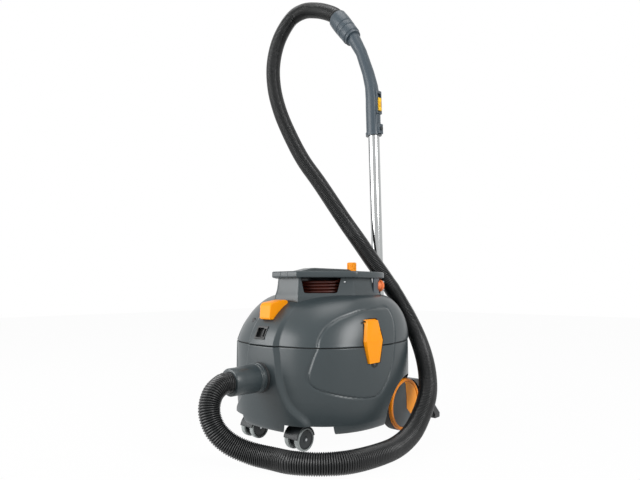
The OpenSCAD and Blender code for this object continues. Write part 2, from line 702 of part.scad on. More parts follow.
wheel_in_x = wheel_face_x - wheel_w;
rim_w = 8;
rim_r = wheel_d / 2 - 2;
disc_r = wheel_d / 2 - 9;
hub_r = 40;
module at_axle() translate([0, axle_y, axle_z]) rotate([0, 90, 0]) children();
module tyre() color(black) at_axle() rotate_extrude($fn = 72) polygon([[hub_r, wheel_in_x],
    [wheel_d / 2 - 3, wheel_in_x], [wheel_d / 2, wheel_in_x + 3], [wheel_d / 2, wheel_face_x - rim_w],
    [hub_r, wheel_face_x - rim_w]]);
module wheel_rim() color(orange) at_axle() rotate_extrude($fn = 72) polygon([[disc_r, wheel_face_x - rim_w],
    [rim_r + 1, wheel_face_x - rim_w], [rim_r, wheel_face_x - 1], [rim_r - 1, wheel_face_x], [disc_r, wheel_face_x]]);
module wheel_disc() color(grey) at_axle() rotate_extrude($fn = 72) polygon([[0, wheel_face_x - 7],
    [axle_d / 2 + run_gap, wheel_face_x - 7], [axle_d / 2 + run_gap, wheel_in_x + 2], [hub_r, wheel_in_x + 2],
    [hub_r, wheel_face_x - rim_w], [disc_r, wheel_face_x - rim_w], [disc_r, wheel_face_x - 2],
    [disc_r - 8, wheel_face_x + 0.5], [disc_r - 28, wheel_face_x + 2.6], [0, wheel_face_x + 3.4]]);
module tyre_left() tyre();
module tyre_right() mirror([1, 0, 0]) tyre();
module wheel_rim_left() wheel_rim();
module wheel_rim_right() mirror([1, 0, 0]) wheel_rim();
module wheel_disc_left() wheel_disc();
module wheel_disc_right() mirror([1, 0, 0]) wheel_disc();

caster_r = caster_d / 2;
caster_half = 9;           // from the middle of a caster to the inner face of its wheels
caster_pin = 6;
hood_z = caster_r + 23;
module caster_fork() color("#3b3b3b") translate([caster_x, caster_y, 0]) {
    difference() {
        union() {
            translate([0, -caster_trail, caster_r]) rotate([0, 90, 0])
                cylinder(r = 15, h = 2 * caster_half - 0.6, center = true);
            translate([-caster_half + 0.3, -caster_trail, caster_r]) cube([2 * caster_half - 0.6, caster_trail + 8, 22]);
            // hood over the wheels
            difference() {
                translate([0, -caster_trail, caster_r]) rotate([0, 90, 0])
                    cylinder(r = caster_r + 3.6, h = 2 * (caster_half + caster_w) - 4, center = true);
                translate([0, -caster_trail, caster_r]) rotate([0, 90, 0])
                    cylinder(r = caster_r + 1.2, h = 100, center = true);
                translate([-50, -100, -10]) cube([100, 200, caster_r + 14]);
            }
            translate([-caster_half + 0.3, -caster_trail - 8, caster_r + 10]) cube([2 * caster_half - 0.6, 26, 16]);
            cylinder(r = 9, h = well_top_z - 2.5);
            cylinder(d = stem_d, h = well_top_z + 11.7);
        }
        translate([0, -caster_trail, caster_r]) rotate([0, 90, 0]) cylinder(d = caster_pin, h = 60, center = true);
        translate([-50, -50, -1]) cube([100, 100, caster_r - 14]);
        translate([-50, -caster_trail + 15, -1]) cube([100, 100, caster_r - 2]);
    }
}
module caster_fork_left() caster_fork();
module caster_fork_right() mirror([1, 0, 0]) caster_fork();
module caster_axle() color(steel) translate([caster_x, caster_y - caster_trail, caster_r]) rotate([0, 90, 0])
    cylinder(d = caster_pin, h = 2 * (caster_half + caster_w) - 1, center = true);
module caster_axle_left() caster_axle();
module caster_axle_right() mirror([1, 0, 0]) caster_axle();
module caster_wheels() color("#b5bbb8") translate([caster_x, caster_y - caster_trail, caster_r]) rotate([0, 90, 0])
    for (s = [0, 1]) mirror([0, 0, s]) translate([0, 0, caster_half]) rotate_extrude()
        polygon([[caster_pin / 2 + run_gap, 0], [caster_r - 1, 0], [caster_r, 1], [caster_r, caster_w - 2],
            [caster_r - 2, caster_w], [caster_pin / 2 + run_gap, caster_w]]);
module caster_wheels_left() caster_wheels();
module caster_wheels_right() mirror([1, 0, 0]) caster_wheels();

// ---------- wand ----------

// The parked wand stands behind the machine and leans forward.
module at_wand() translate([0, wand_y, 0]) rotate([wand_lean, 0, 0]) children();
function wand_point(x, s) = [x, wand_y - s * sin(wand_lean), s * cos(wand_lean)];
tube_r = tube_d / 2;
tube_foot = 100;
tube_top = tube_foot + tube_l;
cuff_low = [-68, tube_top + 267];
cuff_l = 86;
cuff_turn = 36.5;          // how far the handle's cuff leans to the side
cuff_end = [cuff_low[0] - cuff_l * sin(cuff_turn), cuff_low[1] + cuff_l * cos(cuff_turn)];
cuff_mouth = wand_point(cuff_end[0], cuff_end[1]);
cuff_run = (cuff_mouth - wand_point(cuff_low[0], cuff_low[1])) / cuff_l;
hose_grip = 30;
module at_cuff() at_wand() translate([cuff_low[0], 0, cuff_low[1]]) rotate([0, -cuff_turn, 0]) children();

module wand_tube() color("#c9cccd") at_wand() difference() {
    union() {
        translate([0, 0, tube_foot]) cylinder(r = tube_r, h = tube_l);
        translate([0, 0, tube_foot + 32]) cylinder(r = tube_r + 0.8, h = 3);
    }
    translate([0, 0, tube_foot - 1]) cylinder(r = tube_r - tube_wall, h = tube_l + 2);
}

sleeve_low = tube_top - 32;
sleeve_r = 20.5;
handle_line = [[0, 0, tube_top + 46], [0, 0, tube_top + 72], [-3, 0, tube_top + 106], [-13, 0, tube_top + 147],
    [-35, 0, tube_top + 211], [-57, 0, tube_top + 252], [cuff_low[0] + 0.6, 0, cuff_low[1] - 0.8]];
handle_radii = [20.5, 20, 18.5, 17, 16, 18, 20];
slide_low = tube_top + 34;
slide_l = 35;
slide_travel = 12;
module handle() color(slate) at_wand() difference() {
    union() {
        translate([0, 0, sleeve_low]) cylinder(r = sleeve_r, h = 80);
        translate([0, 0, sleeve_low]) cylinder(r = sleeve_r + 2, h = 9);
        translate([0, -9, sleeve_low + 2]) cube([26, 18, 27]);
        rope(handle_line, handle_radii, 20);
        translate([0, -11, slide_low - 8]) cube([sleeve_r + 2, 22, slide_l + slide_travel + 16]);
        translate([cuff_low[0], 0, cuff_low[1]]) rotate([0, -cuff_turn, 0]) {
            translate([0, 0, -8]) cylinder(r = 24, h = 7.7);
            translate([0, 0, -1]) cylinder(r = 20, h = 51);
        }
    }
    translate([0, 0, sleeve_low - 1]) cylinder(r = tube_r, h = tube_top - sleeve_low + 1);
    translate([0, 0, tube_top - 1]) cylinder(r = 14, h = 60);
    rope(concat([[0, 0, tube_top + 48]], [for (i = [1:5]) handle_line[i]],
        [[cuff_low[0] - 2, 0, cuff_low[1] + 3]]), [14, 14, 13.5, 13, 12.5, 14, 15], 12);
    translate([cuff_low[0], 0, cuff_low[1]]) rotate([0, -cuff_turn, 0]) translate([0, 0, -4]) cylinder(r = 15, h = 60);
    // track of the suction slide, with its air slot
    translate([sleeve_r - 3, -7 - run_gap, slide_low - seat])
        cube([20, 14 + 2 * run_gap, slide_l + slide_travel + 2 * seat]);
    translate([10, -3, slide_low + 8]) cube([20, 6, 16]);
    // seat of the lock button
    translate([tube_r + 1, 0, sleeve_low + 16]) rotate([0, 90, 0]) cylinder(r = 5.5 + run_gap, h = 30);
}
module suction_slide() color("#f2b705") at_wand() translate([sleeve_r - 3, -7, slide_low]) difference() {
    cube([7.5, 14, slide_l]);
    for (i = [0:4]) translate([5.8, -1, 9.5 + 3.4 * i]) cube([4, 16, 1.6]);
}
module wand_button() color(orange) at_wand() translate([tube_r + 4.4, 0, sleeve_low + 16]) rotate([0, 90, 0])
    cylinder(r = 5.5, h = 8.6);

module handle_cuff() color(black) at_cuff() rotate_extrude() polygon([[20 + run_gap, 0], [24, 0], [26.6, 2], [27, 22],
    [26, 22.6], [26, 25], [27.4, 25.6], [27.8, 40], [26.4, 40.6], [26.4, 43], [28, 43.6], [28.4, 62], [27.6, cuff_l - 2],
    [26, cuff_l], [hose_d / 2 + seat, cuff_l], [hose_d / 2 + seat, cuff_l - hose_grip], [20 + run_gap, cuff_l - hose_grip]]);

// ---------- hose ----------

socket_face_y = panel_y - 6;
cuff_y = socket_face_y - seat;
cuff_end_y = -294;
inlet_cuff_l = cuff_y - cuff_end_y;
module hose_cuff() color(black) translate([0, cuff_y, inlet_z]) rotate([90, 0, 0]) rotate_extrude()
    polygon([[hose_bore / 2 + 1, -34], [inlet_bore / 2 - run_gap, -34], [inlet_bore / 2 - run_gap, 0], [31.5, 0],
        [32.5, 1.5], [32.5, 13], [31, 13.6], [31, 15.6], [32.3, 16.2], [32, 24], [30.5, 24.6], [30.5, 26.6],
        [31.8, 27.2], [31.4, 36], [29.8, 36.6], [29.8, 38.6], [31, 39.2], [27.6, inlet_cuff_l - 3],
        [26.6, inlet_cuff_l], [hose_d / 2 + seat, inlet_cuff_l], [hose_d / 2 + seat, inlet_cuff_l - hose_grip],
        [hose_bore / 2 + 1, inlet_cuff_l - hose_grip]]);

// Route of the hose from the inlet's cuff, along the floor and up in a loop to the handle.
hose_route = [
    [0, cuff_end_y + hose_grip - seat, inlet_z], [0, cuff_end_y, inlet_z], [0, -312, 154], [4, -338, 138],
    [12, -352, 108], [28, -349, 74], [50, -330, 46], [82, -303, 28], [122, -284, 22], [166, -275, 22],
    [212, -246, 22], [246, -199, 22], [262, -128, 22], [262, -60, 23], [258, 0, 36], [253, 45, 62],
    [245, 88, 98], [226, 125, 133], [200, 156, 174], [160, 193, 218], [122, 212, 266], [96, 211, 308],
    [81, 198, 341], [68, 182, 371], [28, 170, 428], [-12, 164, 482], [-69, 169, 546], [-153, 160, 659],
    [-214, 152, 738], [-264, 147, 820],
    [-305, 143, 903], [-333, 144, 985], [-345, 152, 1067], [-336, 168, 1146], [-301, 186, 1206],
    [-254, 195, 1219], [-204, 200, 1206], [-160, 200, 1184], cuff_mouth + 14 * cuff_run, cuff_mouth,
    cuff_mouth - (hose_grip - seat) * cuff_run
];

module hose() color(black) {
    line = curve(hose_route, 8);
    r = hose_d / 2;
    skin_tube(rings(even(line, 2 * hose_ribs), [for (i = [0:2 * hose_ribs - 1]) i % 2 == 0 ? r : r - 2.6], 8),
        rings(even(line, 80), [hose_bore / 2], 8));
}

// ---------- floor tool ----------

tool_top_y = 262;          // upper side of the tool, which faces the machine
sole_y = 289;
tool_pivot = [254, 58];    // height and place of the tilting axis
barrel_r = 14;
barrel_half = 24;
tool_wall = 3.5;
module tool_outline(inset) polygon([[-tool_w / 2 + inset, 2 + inset], [tool_w / 2 - inset, 2 + inset],
    [tool_w / 2 - inset, 14 - inset / 2], [tool_w / 2 - 6 - inset, 22 - inset / 2], [110 - inset / 2, tool_h - 8 - inset],
    [100 - inset / 2, tool_h - inset], [-100 + inset / 2, tool_h - inset], [-110 + inset / 2, tool_h - 8 - inset],
    [-tool_w / 2 + 6 + inset, 22 - inset / 2], [-tool_w / 2 + inset, 14 - inset / 2]]);
roller_r = 7;
shaft_r = 1.8;
roller_y = 294 - roller_r;
roller_z = tool_h - 12;
pedal_z = 84;
notch_y = tool_top_y + 13;
module tool_body() color(black) {
    tool_housing();
    // pin of the pedal
    translate([-45, tool_top_y + 3, pedal_z]) rotate([0, 90, 0]) cylinder(r = 1.5, h = 33, center = true);
}
module tool_housing() difference() {
    union() {
        // recess that the neck lies in
        translate([-barrel_half - 4, tool_top_y + 1, 30]) cube([2 * barrel_half + 8, notch_y - tool_top_y + 2, tool_h - 31]);
        difference() {
            union() {
                along_y(tool_top_y + 4, sole_y) tool_outline(0);
                along_y(tool_top_y, tool_top_y + 4) tool_outline(4);
            }
            along_y(tool_top_y + tool_wall, sole_y + 1) tool_outline(tool_wall);
        }
        // bearings of the roller shaft and of the tilting neck
        for (s = [-1, 1]) {
            translate([s * 101 - 4, tool_top_y + 2, roller_z - 8]) cube([8, sole_y - tool_top_y - 2, 14]);
            translate([s * (barrel_half + 6.3) - 6, tool_pivot[0], tool_pivot[1] - 12]) cube([12, tool_wall + 10, 24]);
            translate([s * (barrel_half + 6.3), tool_pivot[0], tool_pivot[1]]) rotate([0, 90, 0])
                cylinder(r = 12, h = 12, center = true);
        }
    }
    // room for the neck's barrel
    translate([0, tool_pivot[0], tool_pivot[1]]) rotate([0, 90, 0])
        cylinder(r = barrel_r + 1.5, h = 2 * barrel_half + 0.6, center = true);
    translate([0, tool_pivot[0], tool_pivot[1]]) rotate([0, 90, 0])
        cylinder(r = 5 + run_gap, h = 2 * barrel_half + 40, center = true);
    translate([-barrel_half - seat, tool_top_y - 20, tool_pivot[1] - 14])
        cube([2 * barrel_half + 2 * seat, notch_y - tool_top_y + 20, 100]);
    translate([0, roller_y, roller_z]) rotate([0, 90, 0]) cylinder(r = shaft_r + run_gap, h = 206, center = true);
    // slot of the pedal
    translate([-60 - 0.4, tool_top_y - 1, pedal_z - 12]) cube([30 + 0.8, 10, 18]);
}
module tool_sole() color(steel) difference() {
    along_y(sole_y, sole_y + 3.5) tool_outline(1);
    // suction mouth, brush slots and room for the rollers
    translate([-120, sole_y - 1, 22]) cube([240, 6, 10]);
    for (z = [12, 40]) translate([-121, sole_y - 1, z - 0.3]) cube([242, 6, 5.6]);
    for (s = [-1, 1]) translate([s * 86 - 9, sole_y - 1, roller_z - 9]) cube([18, 6, 18]);
}
module tool_brushes() color("#2b2b2b") {
    for (z = [12, 40]) translate([-120, notch_y + 4.5, z]) cube([240, 291.5 - notch_y - 4.5, 5]);
    for (x = [-40, 28]) translate([x, notch_y + 4.5, 12]) cube([12, 4, 33]);
}
module tool_pedal() color(slate) difference() {
    translate([-60, tool_top_y - 5, pedal_z - 11]) cube([30, 12, 16]);
    translate([-45, tool_top_y + 3, pedal_z]) rotate([0, 90, 0]) cylinder(r = 1.5 + run_gap, h = 60, center = true);
}
module tool_rollers() color("#3b3b3b") translate([0, roller_y, roller_z]) rotate([0, 90, 0]) {
    cylinder(r = shaft_r, h = 204, center = true);
    for (s = [-1, 1]) translate([0, 0, s * 86]) cylinder(r = roller_r, h = 14, center = true);
}
module tool_neck() color(black) difference() {
    union() {
        translate([0, tool_pivot[0], tool_pivot[1]]) rotate([0, 90, 0])
            cylinder(r = barrel_r, h = 2 * barrel_half, center = true);
        translate([0, tool_pivot[0], tool_pivot[1]]) rotate([0, 90, 0])
            cylinder(r = 5, h = 2 * barrel_half + 26, center = true);
        at_wand() translate([0, 0, tool_pivot[1]]) cylinder(r1 = 14, r2 = 19, h = 24);
        at_wand() translate([0, 0, tool_pivot[1] + 24]) cylinder(r = 19.5, h = 46);
        at_wand() translate([0, 0, tool_pivot[1] + 66]) cylinder(r = 21, h = 6);
    }
    at_wand() translate([0, 0, tube_foot]) cylinder(r = tube_r, h = 60);
    at_wand() translate([0, 0, tool_pivot[1]]) cylinder(r = 12, h = 60);
    translate([0, tool_pivot[0], tool_pivot[1]]) rotate([-90, 0, 0]) cylinder(r = 11, h = 40);
}

echo(triangles_of_hose = 2 * 8 * (2 * hose_ribs + 80), triangles_of_lead = 12 * len(lead_path), lead_gap = lead_gap);

tub();
base_plate();
inlet_socket();
caster_bush_left();
caster_bush_right();
rear_axle();
wand_holder();
filter_bag();
bag_collar();
head_shell();
head_plate();
seam_seal();
neck();
cord_drum();
ring_handle();
carry_handle();
neck_screws();
brush_outlet();
lead_coupler();
exhaust_filter();
motor();
fan_housing();
fan_wheel();
filter_basket();
power_knob();
reset_button();
latch_left();
latch_right();
latch_pins();
mains_cord();
cord_core();
plug();
plug_dock();
tyre_left();
tyre_right();
wheel_disc_left();
wheel_disc_right();
wheel_rim_left();
wheel_rim_right();
caster_fork_left();
caster_fork_right();
caster_axle_left();
caster_axle_right();
caster_wheels_left();
caster_wheels_right();
hose_cuff();
hose();
handle_cuff();
handle();
suction_slide();
wand_button();
wand_tube();
tool_neck();
tool_body();
tool_sole();
tool_pedal();
tool_brushes();
tool_rollers();
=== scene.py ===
import math

import bmesh
import bpy
import numpy as np
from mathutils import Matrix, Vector


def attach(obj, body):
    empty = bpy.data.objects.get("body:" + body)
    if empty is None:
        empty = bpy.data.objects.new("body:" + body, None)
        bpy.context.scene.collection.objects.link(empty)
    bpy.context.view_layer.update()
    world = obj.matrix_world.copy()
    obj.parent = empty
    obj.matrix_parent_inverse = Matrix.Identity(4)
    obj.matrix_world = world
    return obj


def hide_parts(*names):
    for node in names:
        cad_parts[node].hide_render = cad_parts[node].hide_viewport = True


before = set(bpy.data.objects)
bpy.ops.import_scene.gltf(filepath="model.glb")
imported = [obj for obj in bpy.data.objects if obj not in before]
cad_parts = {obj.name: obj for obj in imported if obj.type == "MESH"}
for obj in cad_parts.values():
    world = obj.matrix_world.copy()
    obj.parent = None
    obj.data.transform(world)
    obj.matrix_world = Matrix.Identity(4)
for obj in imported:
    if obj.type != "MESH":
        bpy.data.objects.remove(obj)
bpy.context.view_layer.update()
print("frame loaded:", len(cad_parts), "nodes")

mm = 0.001
scene = bpy.context.scene

# camera, level, a little above the middle of the body
view = {"turn": 41.58, "distance": 1.2715, "height": 0.3516, "lens": 28.45,
        "sensor": 36, "shiftX": -0.0044, "shiftY": 0.0753}
turn = math.radians(view["turn"])
cameraData = bpy.data.cameras.new("camera")
cameraData.lens = view["lens"]
cameraData.sensor_width = view["sensor"]
cameraData.shift_x = view["shiftX"]
cameraData.shift_y = view["shiftY"]
camera = bpy.data.objects.new("camera", cameraData)
camera.location = (math.sin(turn) * view["distance"], -math.cos(turn) * view["distance"], view["height"])
camera.rotation_euler = (math.radians(90), 0, turn)
scene.collection.objects.link(camera)
scene.camera = camera


# sRGB hex to linear RGBA
def linear(hexColour):
    parts = [int(hexColour[i:i + 2], 16) / 255 for i in (1, 3, 5)]
    return [c / 12.92 if c <= 0.04045 else ((c + 0.055) / 1.055) ** 2.4 for c in parts] + [1.0]


# add one node, set its properties, then fill each input with a value or a link
def addNode(tree, kind, settings=None, inputs=None):
    node = tree.nodes.new(kind)
    for key, value in (settings or {}).items():
        setattr(node, key, value)
    for key, value in (inputs or {}).items():
        socket = node.inputs[key]
        if isinstance(value, bpy.types.NodeSocket):
            tree.links.new(value, socket)
        else:
            socket.default_value = value
    return node


def newMaterial(name):
    material = bpy.data.materials.new(name)
    material.use_nodes = True
    material.node_tree.nodes.clear()
    return material, material.node_tree


def endMaterial(tree, shader):
    addNode(tree, "ShaderNodeOutputMaterial", inputs={"Surface": shader})


# ABS, polypropylene or rubber out of a spark-eroded mould: fine grain, spaced by grain in mm, and broad
# patches that stray from the written colour by the share wear
def mouldedPlastic(name, hexColour, roughness, grain=0.5, grainDepth=0.03, wear=0.06, ior=1.5):
    material, tree = newMaterial(name)
    place = addNode(tree, "ShaderNodeTexCoord").outputs["Object"]
    fine = addNode(tree, "ShaderNodeTexNoise", inputs={"Vector": place, "Scale": 1000 / grain, "Detail": 2.0})
    broad = addNode(tree, "ShaderNodeTexNoise", inputs={"Vector": place, "Scale": 9.0, "Detail": 3.0})
    base = linear(hexColour)
    pale = [min(1, c * (1 + wear) + wear * 0.03) for c in base[:3]] + [1]
    deep = [c * (1 - wear) for c in base[:3]] + [1]
    tone = addNode(tree, "ShaderNodeMix", {"data_type": "RGBA"},
                   {"Factor": broad.outputs["Fac"], "A": deep, "B": pale})
    rough = addNode(tree, "ShaderNodeMapRange", inputs={
        "Value": broad.outputs["Fac"], "To Min": roughness - 0.04, "To Max": roughness + 0.05})
    bump = addNode(tree, "ShaderNodeBump", inputs={"Height": fine.outputs["Fac"], "Strength": 0.2,
                                                   "Distance": grainDepth * mm})
    shader = addNode(tree, "ShaderNodeBsdfPrincipled", inputs={
        "Base Color": tone.outputs["Result"], "Roughness": rough.outputs["Result"],
        "Normal": bump.outputs["Normal"], "IOR": ior})
    endMaterial(tree, shader.outputs["BSDF"])
    return material


# drawn or turned metal: noise drawn out fifty times along Z, into fine lines that stretch the highlight
def turnedMetal(name, hexColour, roughness, lines=0.6):
    material, tree = newMaterial(name)
    place = addNode(tree, "ShaderNodeTexCoord").outputs["Object"]
    drawn = addNode(tree, "ShaderNodeMapping", inputs={"Vector": place, "Scale": (1, 1, 0.02)})
    streak = addNode(tree, "ShaderNodeTexNoise", inputs={
        "Vector": drawn.outputs["Vector"], "Scale": 1000 / lines, "Detail": 3.0})
    smear = addNode(tree, "ShaderNodeTexNoise", inputs={"Vector": place, "Scale": 14.0, "Detail": 4.0})
    base = linear(hexColour)
    tone = addNode(tree, "ShaderNodeMix", {"data_type": "RGBA"},
                   {"Factor": smear.outputs["Fac"], "A": [c * 0.9 for c in base[:3]] + [1], "B": base})
    rough = addNode(tree, "ShaderNodeMapRange", inputs={"Value": smear.outputs["Fac"], "To Min": roughness,
                                                        "To Max": roughness + 0.08})
    bump = addNode(tree, "ShaderNodeBump", inputs={"Height": streak.outputs["Fac"], "Strength": 0.12,
                                                   "Distance": 0.02 * mm})
    shader = addNode(tree, "ShaderNodeBsdfPrincipled", inputs={
        "Base Color": tone.outputs["Result"], "Metallic": 1.0, "Roughness": rough.outputs["Result"],
        "Normal": bump.outputs["Normal"]})
    endMaterial(tree, shader.outputs["BSDF"])
    return material


# non-woven fleece: matted fibres, matt, with a soft sheen at grazing angles
def fleeceCloth(name, hexColour, fibre=1.2):
    material, tree = newMaterial(name)
    place = addNode(tree, "ShaderNodeTexCoord").outputs["Object"]
    mat = addNode(tree, "ShaderNodeTexNoise", inputs={"Vector": place, "Scale": 1000 / fibre, "Detail": 4.0,
                                                      "Distortion": 2.0})
    base = linear(hexColour)
    tone = addNode(tree, "ShaderNodeMix", {"data_type": "RGBA"},
                   {"Factor": mat.outputs["Fac"], "A": [c * 0.8 for c in base[:3]] + [1], "B": base})
    bump = addNode(tree, "ShaderNodeBump", inputs={"Height": mat.outputs["Fac"], "Strength": 0.5,
                                                   "Distance": 0.3 * mm})
    shader = addNode(tree, "ShaderNodeBsdfPrincipled", inputs={
        "Base Color": tone.outputs["Result"], "Roughness": 0.95, "Normal": bump.outputs["Normal"],
        "Sheen Weight": 0.3})
    endMaterial(tree, shader.outputs["BSDF"])
    return material


greyAbs = mouldedPlastic("greyAbs", "#333c3f", 0.32)
darkAbs = mouldedPlastic("darkAbs", "#24292b", 0.42, ior=1.43)
blackAbs = mouldedPlastic("blackAbs", "#191b1c", 0.4)
slateAbs = mouldedPlastic("slateAbs", "#3d4850", 0.36, ior=1.45)
orangeAbs = mouldedPlastic("orangeAbs", "#ff9c00", 0.42, wear=0.01, ior=1.35)
rimAbs = mouldedPlastic("rimAbs", "#f58e06", 0.42, wear=0.02, ior=1.38)
yellowAbs = mouldedPlastic("yellowAbs", "#f5c21a", 0.32, wear=0.03)
plugRubber = mouldedPlastic("plugRubber", "#f07a3c", 0.5, wear=0.04)
# the mains lead's own dark red, set darker still as painted shade for the shade it lies in under the ring
# handle
leadSheathAndShade = mouldedPlastic("leadSheathAndShade", "#48180c", 0.38, grain=0.8, wear=0.12)
tyreRubber = mouldedPlastic("tyreRubber", "#1a1a1a", 0.7, grain=1.0, grainDepth=0.08)
casterTread = mouldedPlastic("casterTread", "#9aa09f", 0.5, grain=0.8)
hosePlastic = mouldedPlastic("hosePlastic", "#121415", 0.27, grain=0.8)
sealFoam = mouldedPlastic("sealFoam", "#101010", 0.85, grain=0.8, grainDepth=0.15)
bristleNylon = mouldedPlastic("bristleNylon", "#262626", 0.6, grain=0.6, grainDepth=0.3)
zincSteel = turnedMetal("zincSteel", "#b9bcbe", 0.3)
stainlessTube = turnedMetal("stainlessTube", "#b4b6b6", 0.1, lines=0.8)
castAluminium = turnedMetal("castAluminium", "#b4b6b8", 0.35)
blackSteel = turnedMetal("blackSteel", "#26282a", 0.45)
filterFleece = fleeceCloth("filterFleece", "#e6e2d8")
print("materials made")


# a mesh object at the origin from points in metres
def meshObject(name, points, faces):
    mesh = bpy.data.meshes.new(name)
    mesh.from_pydata(np.asarray(points).reshape(-1, 3).tolist(), [], faces)
    mesh.update()
    piece = bpy.data.objects.new(name, mesh)
    scene.collection.objects.link(piece)
    return piece


# quads between neighbouring rows of a grid; columns wrap round, rows too when closeRows is set
def gridFaces(rows, columns, wrap=True, closeRows=False):
    r = np.arange(rows if closeRows else rows - 1)[:, None]
    c = np.arange(columns if wrap else columns - 1)[None, :]
    nextRow = (r + 1) % rows
    nextColumn = (c + 1) % columns
    quads = np.stack([r * columns + c, r * columns + nextColumn, nextRow * columns + nextColumn,
                      nextRow * columns + c], -1)
    return quads.reshape(-1, 4).tolist()


# merge doubles and turn every face outwards
def outwards(piece):
    work = bmesh.new()
    work.from_mesh(piece.data)
    bmesh.ops.remove_doubles(work, verts=work.verts, dist=1e-7)
    bmesh.ops.recalc_face_normals(work, faces=work.faces)
    work.to_mesh(piece.data)
    work.free()
    return piece


# closed solid through rings (levels, around, 3) in mm that run anticlockwise seen from the last ring
def loft(name, rings):
    rings = np.asarray(rings, float)
    levels, around = rings.shape[:2]
    faces = gridFaces(levels, around)
    faces.append(list(range(around))[::-1])
    faces.append(list(range((levels - 1) * around, levels * around)))
    return meshObject(name, rings * mm, faces)


# closed plate between two grids (rows, columns, 3) in mm of the same layout, joined round their border
def plate(name, top, bottom):
    rows, columns = top.shape[:2]
    n = rows * columns
    faces = gridFaces(rows, columns, wrap=False)
    faces += [[i + n for i in face[::-1]] for face in faces]
    grid = np.arange(n).reshape(rows, columns)
    rim = np.concatenate([grid[0, :-1], grid[:-1, -1], grid[-1, :0:-1], grid[:0:-1, 0]])
    after = np.roll(rim, -1)
    faces += np.stack([rim, after, after + n, rim + n], -1).tolist()
    return outwards(meshObject(name, np.concatenate([top.reshape(-1, 3), bottom.reshape(-1, 3)]) * mm, faces))


# an outline carried straight along an axis: for X it is drawn in Y and Z, for Y in X and Z, for Z in X and Y
def prism(name, outline, low, high, axis):
    flat = np.asarray(outline, float)

    def at(value):
        fill = np.full(len(flat), float(value))
        return {"X": np.stack([fill, flat[:, 0], flat[:, 1]], -1),
                "Y": np.stack([flat[:, 0], fill, flat[:, 1]], -1),
                "Z": np.stack([flat[:, 0], flat[:, 1], fill], -1)}[axis]
    return outwards(loft(name, [at(low), at(high)]))


# a profile of (radius, height) pairs in mm turned about an axis through origin
def revolve(name, profile, origin, axis, around, closed=False):
    profile = np.asarray(profile, float)
    axis = np.asarray(axis, float) / np.linalg.norm(axis)
    side = np.cross(axis, [0, 0, 1] if abs(axis[2]) < 0.9 else [1, 0, 0])
    side /= np.linalg.norm(side)
    other = np.cross(axis, side)
    angle = np.linspace(0, 2 * np.pi, around, endpoint=False)
    spoke = np.cos(angle)[:, None] * side + np.sin(angle)[:, None] * other
    radius, height = profile[:, 0][:, None, None], profile[:, 1][:, None, None]
    points = np.asarray(origin) + height * axis + radius * spoke[None]
    return outwards(meshObject(name, points * mm, gridFaces(len(profile), around, closeRows=closed)))


# unit headings along a path and side directions carried along it without twist
def carriedFrames(path):
    step = np.gradient(path, axis=0)
    heading = step / np.linalg.norm(step, axis=1)[:, None]
    up = np.array([0, 0, 1.0]) if abs(heading[0][2]) < 0.9 else np.array([1.0, 0, 0])
    sides = [np.cross(heading[0], up)]
    for h in heading[1:]:
        v = sides[-1] - h * (h @ sides[-1])
        sides.append(v / np.linalg.norm(v))
    sides = np.array(sides)
    sides /= np.linalg.norm(sides, axis=1)[:, None]
    return heading, sides


# a round tube of changing radius along a path, closed at both ends
def tube(name, path, radii, around):
    path = np.asarray(path, float)
    radii = np.broadcast_to(np.asarray(radii, float), (len(path),))
    heading, side = carriedFrames(path)
    other = np.cross(heading, side)
    angle = np.linspace(0, 2 * np.pi, around, endpoint=False)
    ring = (np.cos(angle)[None, :, None] * side[:, None] + np.sin(angle)[None, :, None] * other[:, None])
    return loft(name, path[:, None] + radii[:, None, None] * ring)


# a cardinal curve through points, resampled at even spacing in mm
def smoothCurve(points, spacing):
    p = np.asarray(points, float)
    a = np.vstack([2 * p[0] - p[1], p[:-2]])
    b, c = p[:-1], p[1:]
    d = np.vstack([p[2:], 2 * p[-1] - p[-2]])
    t = np.linspace(0, 1, 16, endpoint=False)[None, :, None]
    a, b, c, d = a[:, None], b[:, None], c[:, None], d[:, None]
    dense = 0.5 * (2 * b + (c - a) * t + (2 * a - 5 * b + 4 * c - d) * t ** 2
                   + (3 * b - a - 3 * c + d) * t ** 3)
    dense = np.vstack([dense.reshape(-1, 3), p[-1:]])
    run = np.concatenate([[0], np.cumsum(np.linalg.norm(np.diff(dense, axis=0), axis=1))])
    count = max(2, int(round(run[-1] / spacing)) + 1)
    even = np.linspace(0, run[-1], count)
    return np.stack([np.interp(even, run, dense[:, k]) for k in range(3)], -1), run[-1]


# join, cut or keep the common part with another closed solid, and apply it
def boolean(piece, cutter, operation="DIFFERENCE", solver="EXACT"):
    modifier = piece.modifiers.new("shape", "BOOLEAN")
    modifier.operation = operation
    modifier.solver = solver
    modifier.object = cutter
    bpy.context.view_layer.update()
    result = bpy.data.meshes.new_from_object(piece.evaluated_get(bpy.context.evaluated_depsgraph_get()))
    piece.modifiers.clear()
    piece.data = result
    bpy.data.objects.remove(cutter)
    return piece


# give the finish, round the edges, and smooth what turns by less than smoothAngle
def shade(piece, material, bevel=0.0, smoothAngle=35):
    piece.data.materials.clear()
    piece.data.materials.append(material)
    piece.data.polygons.foreach_set("use_smooth", np.ones(len(piece.data.polygons), bool))
    if bevel:
        rounding = piece.modifiers.new("rounding", "BEVEL")
        rounding.width = bevel * mm
        rounding.segments = 2
        rounding.limit_method = "ANGLE"
        rounding.angle_limit = math.radians(32)
        rounding.use_clamp_overlap = True
        rounding.miter_outer = "MITER_ARC"
    piece.data.set_sharp_from_angle(angle=math.radians(smoothAngle))
    return piece


def place(piece, body, slotName, *nodes):
    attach(piece, body)
    if nodes:
        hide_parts(*nodes)
    return piece


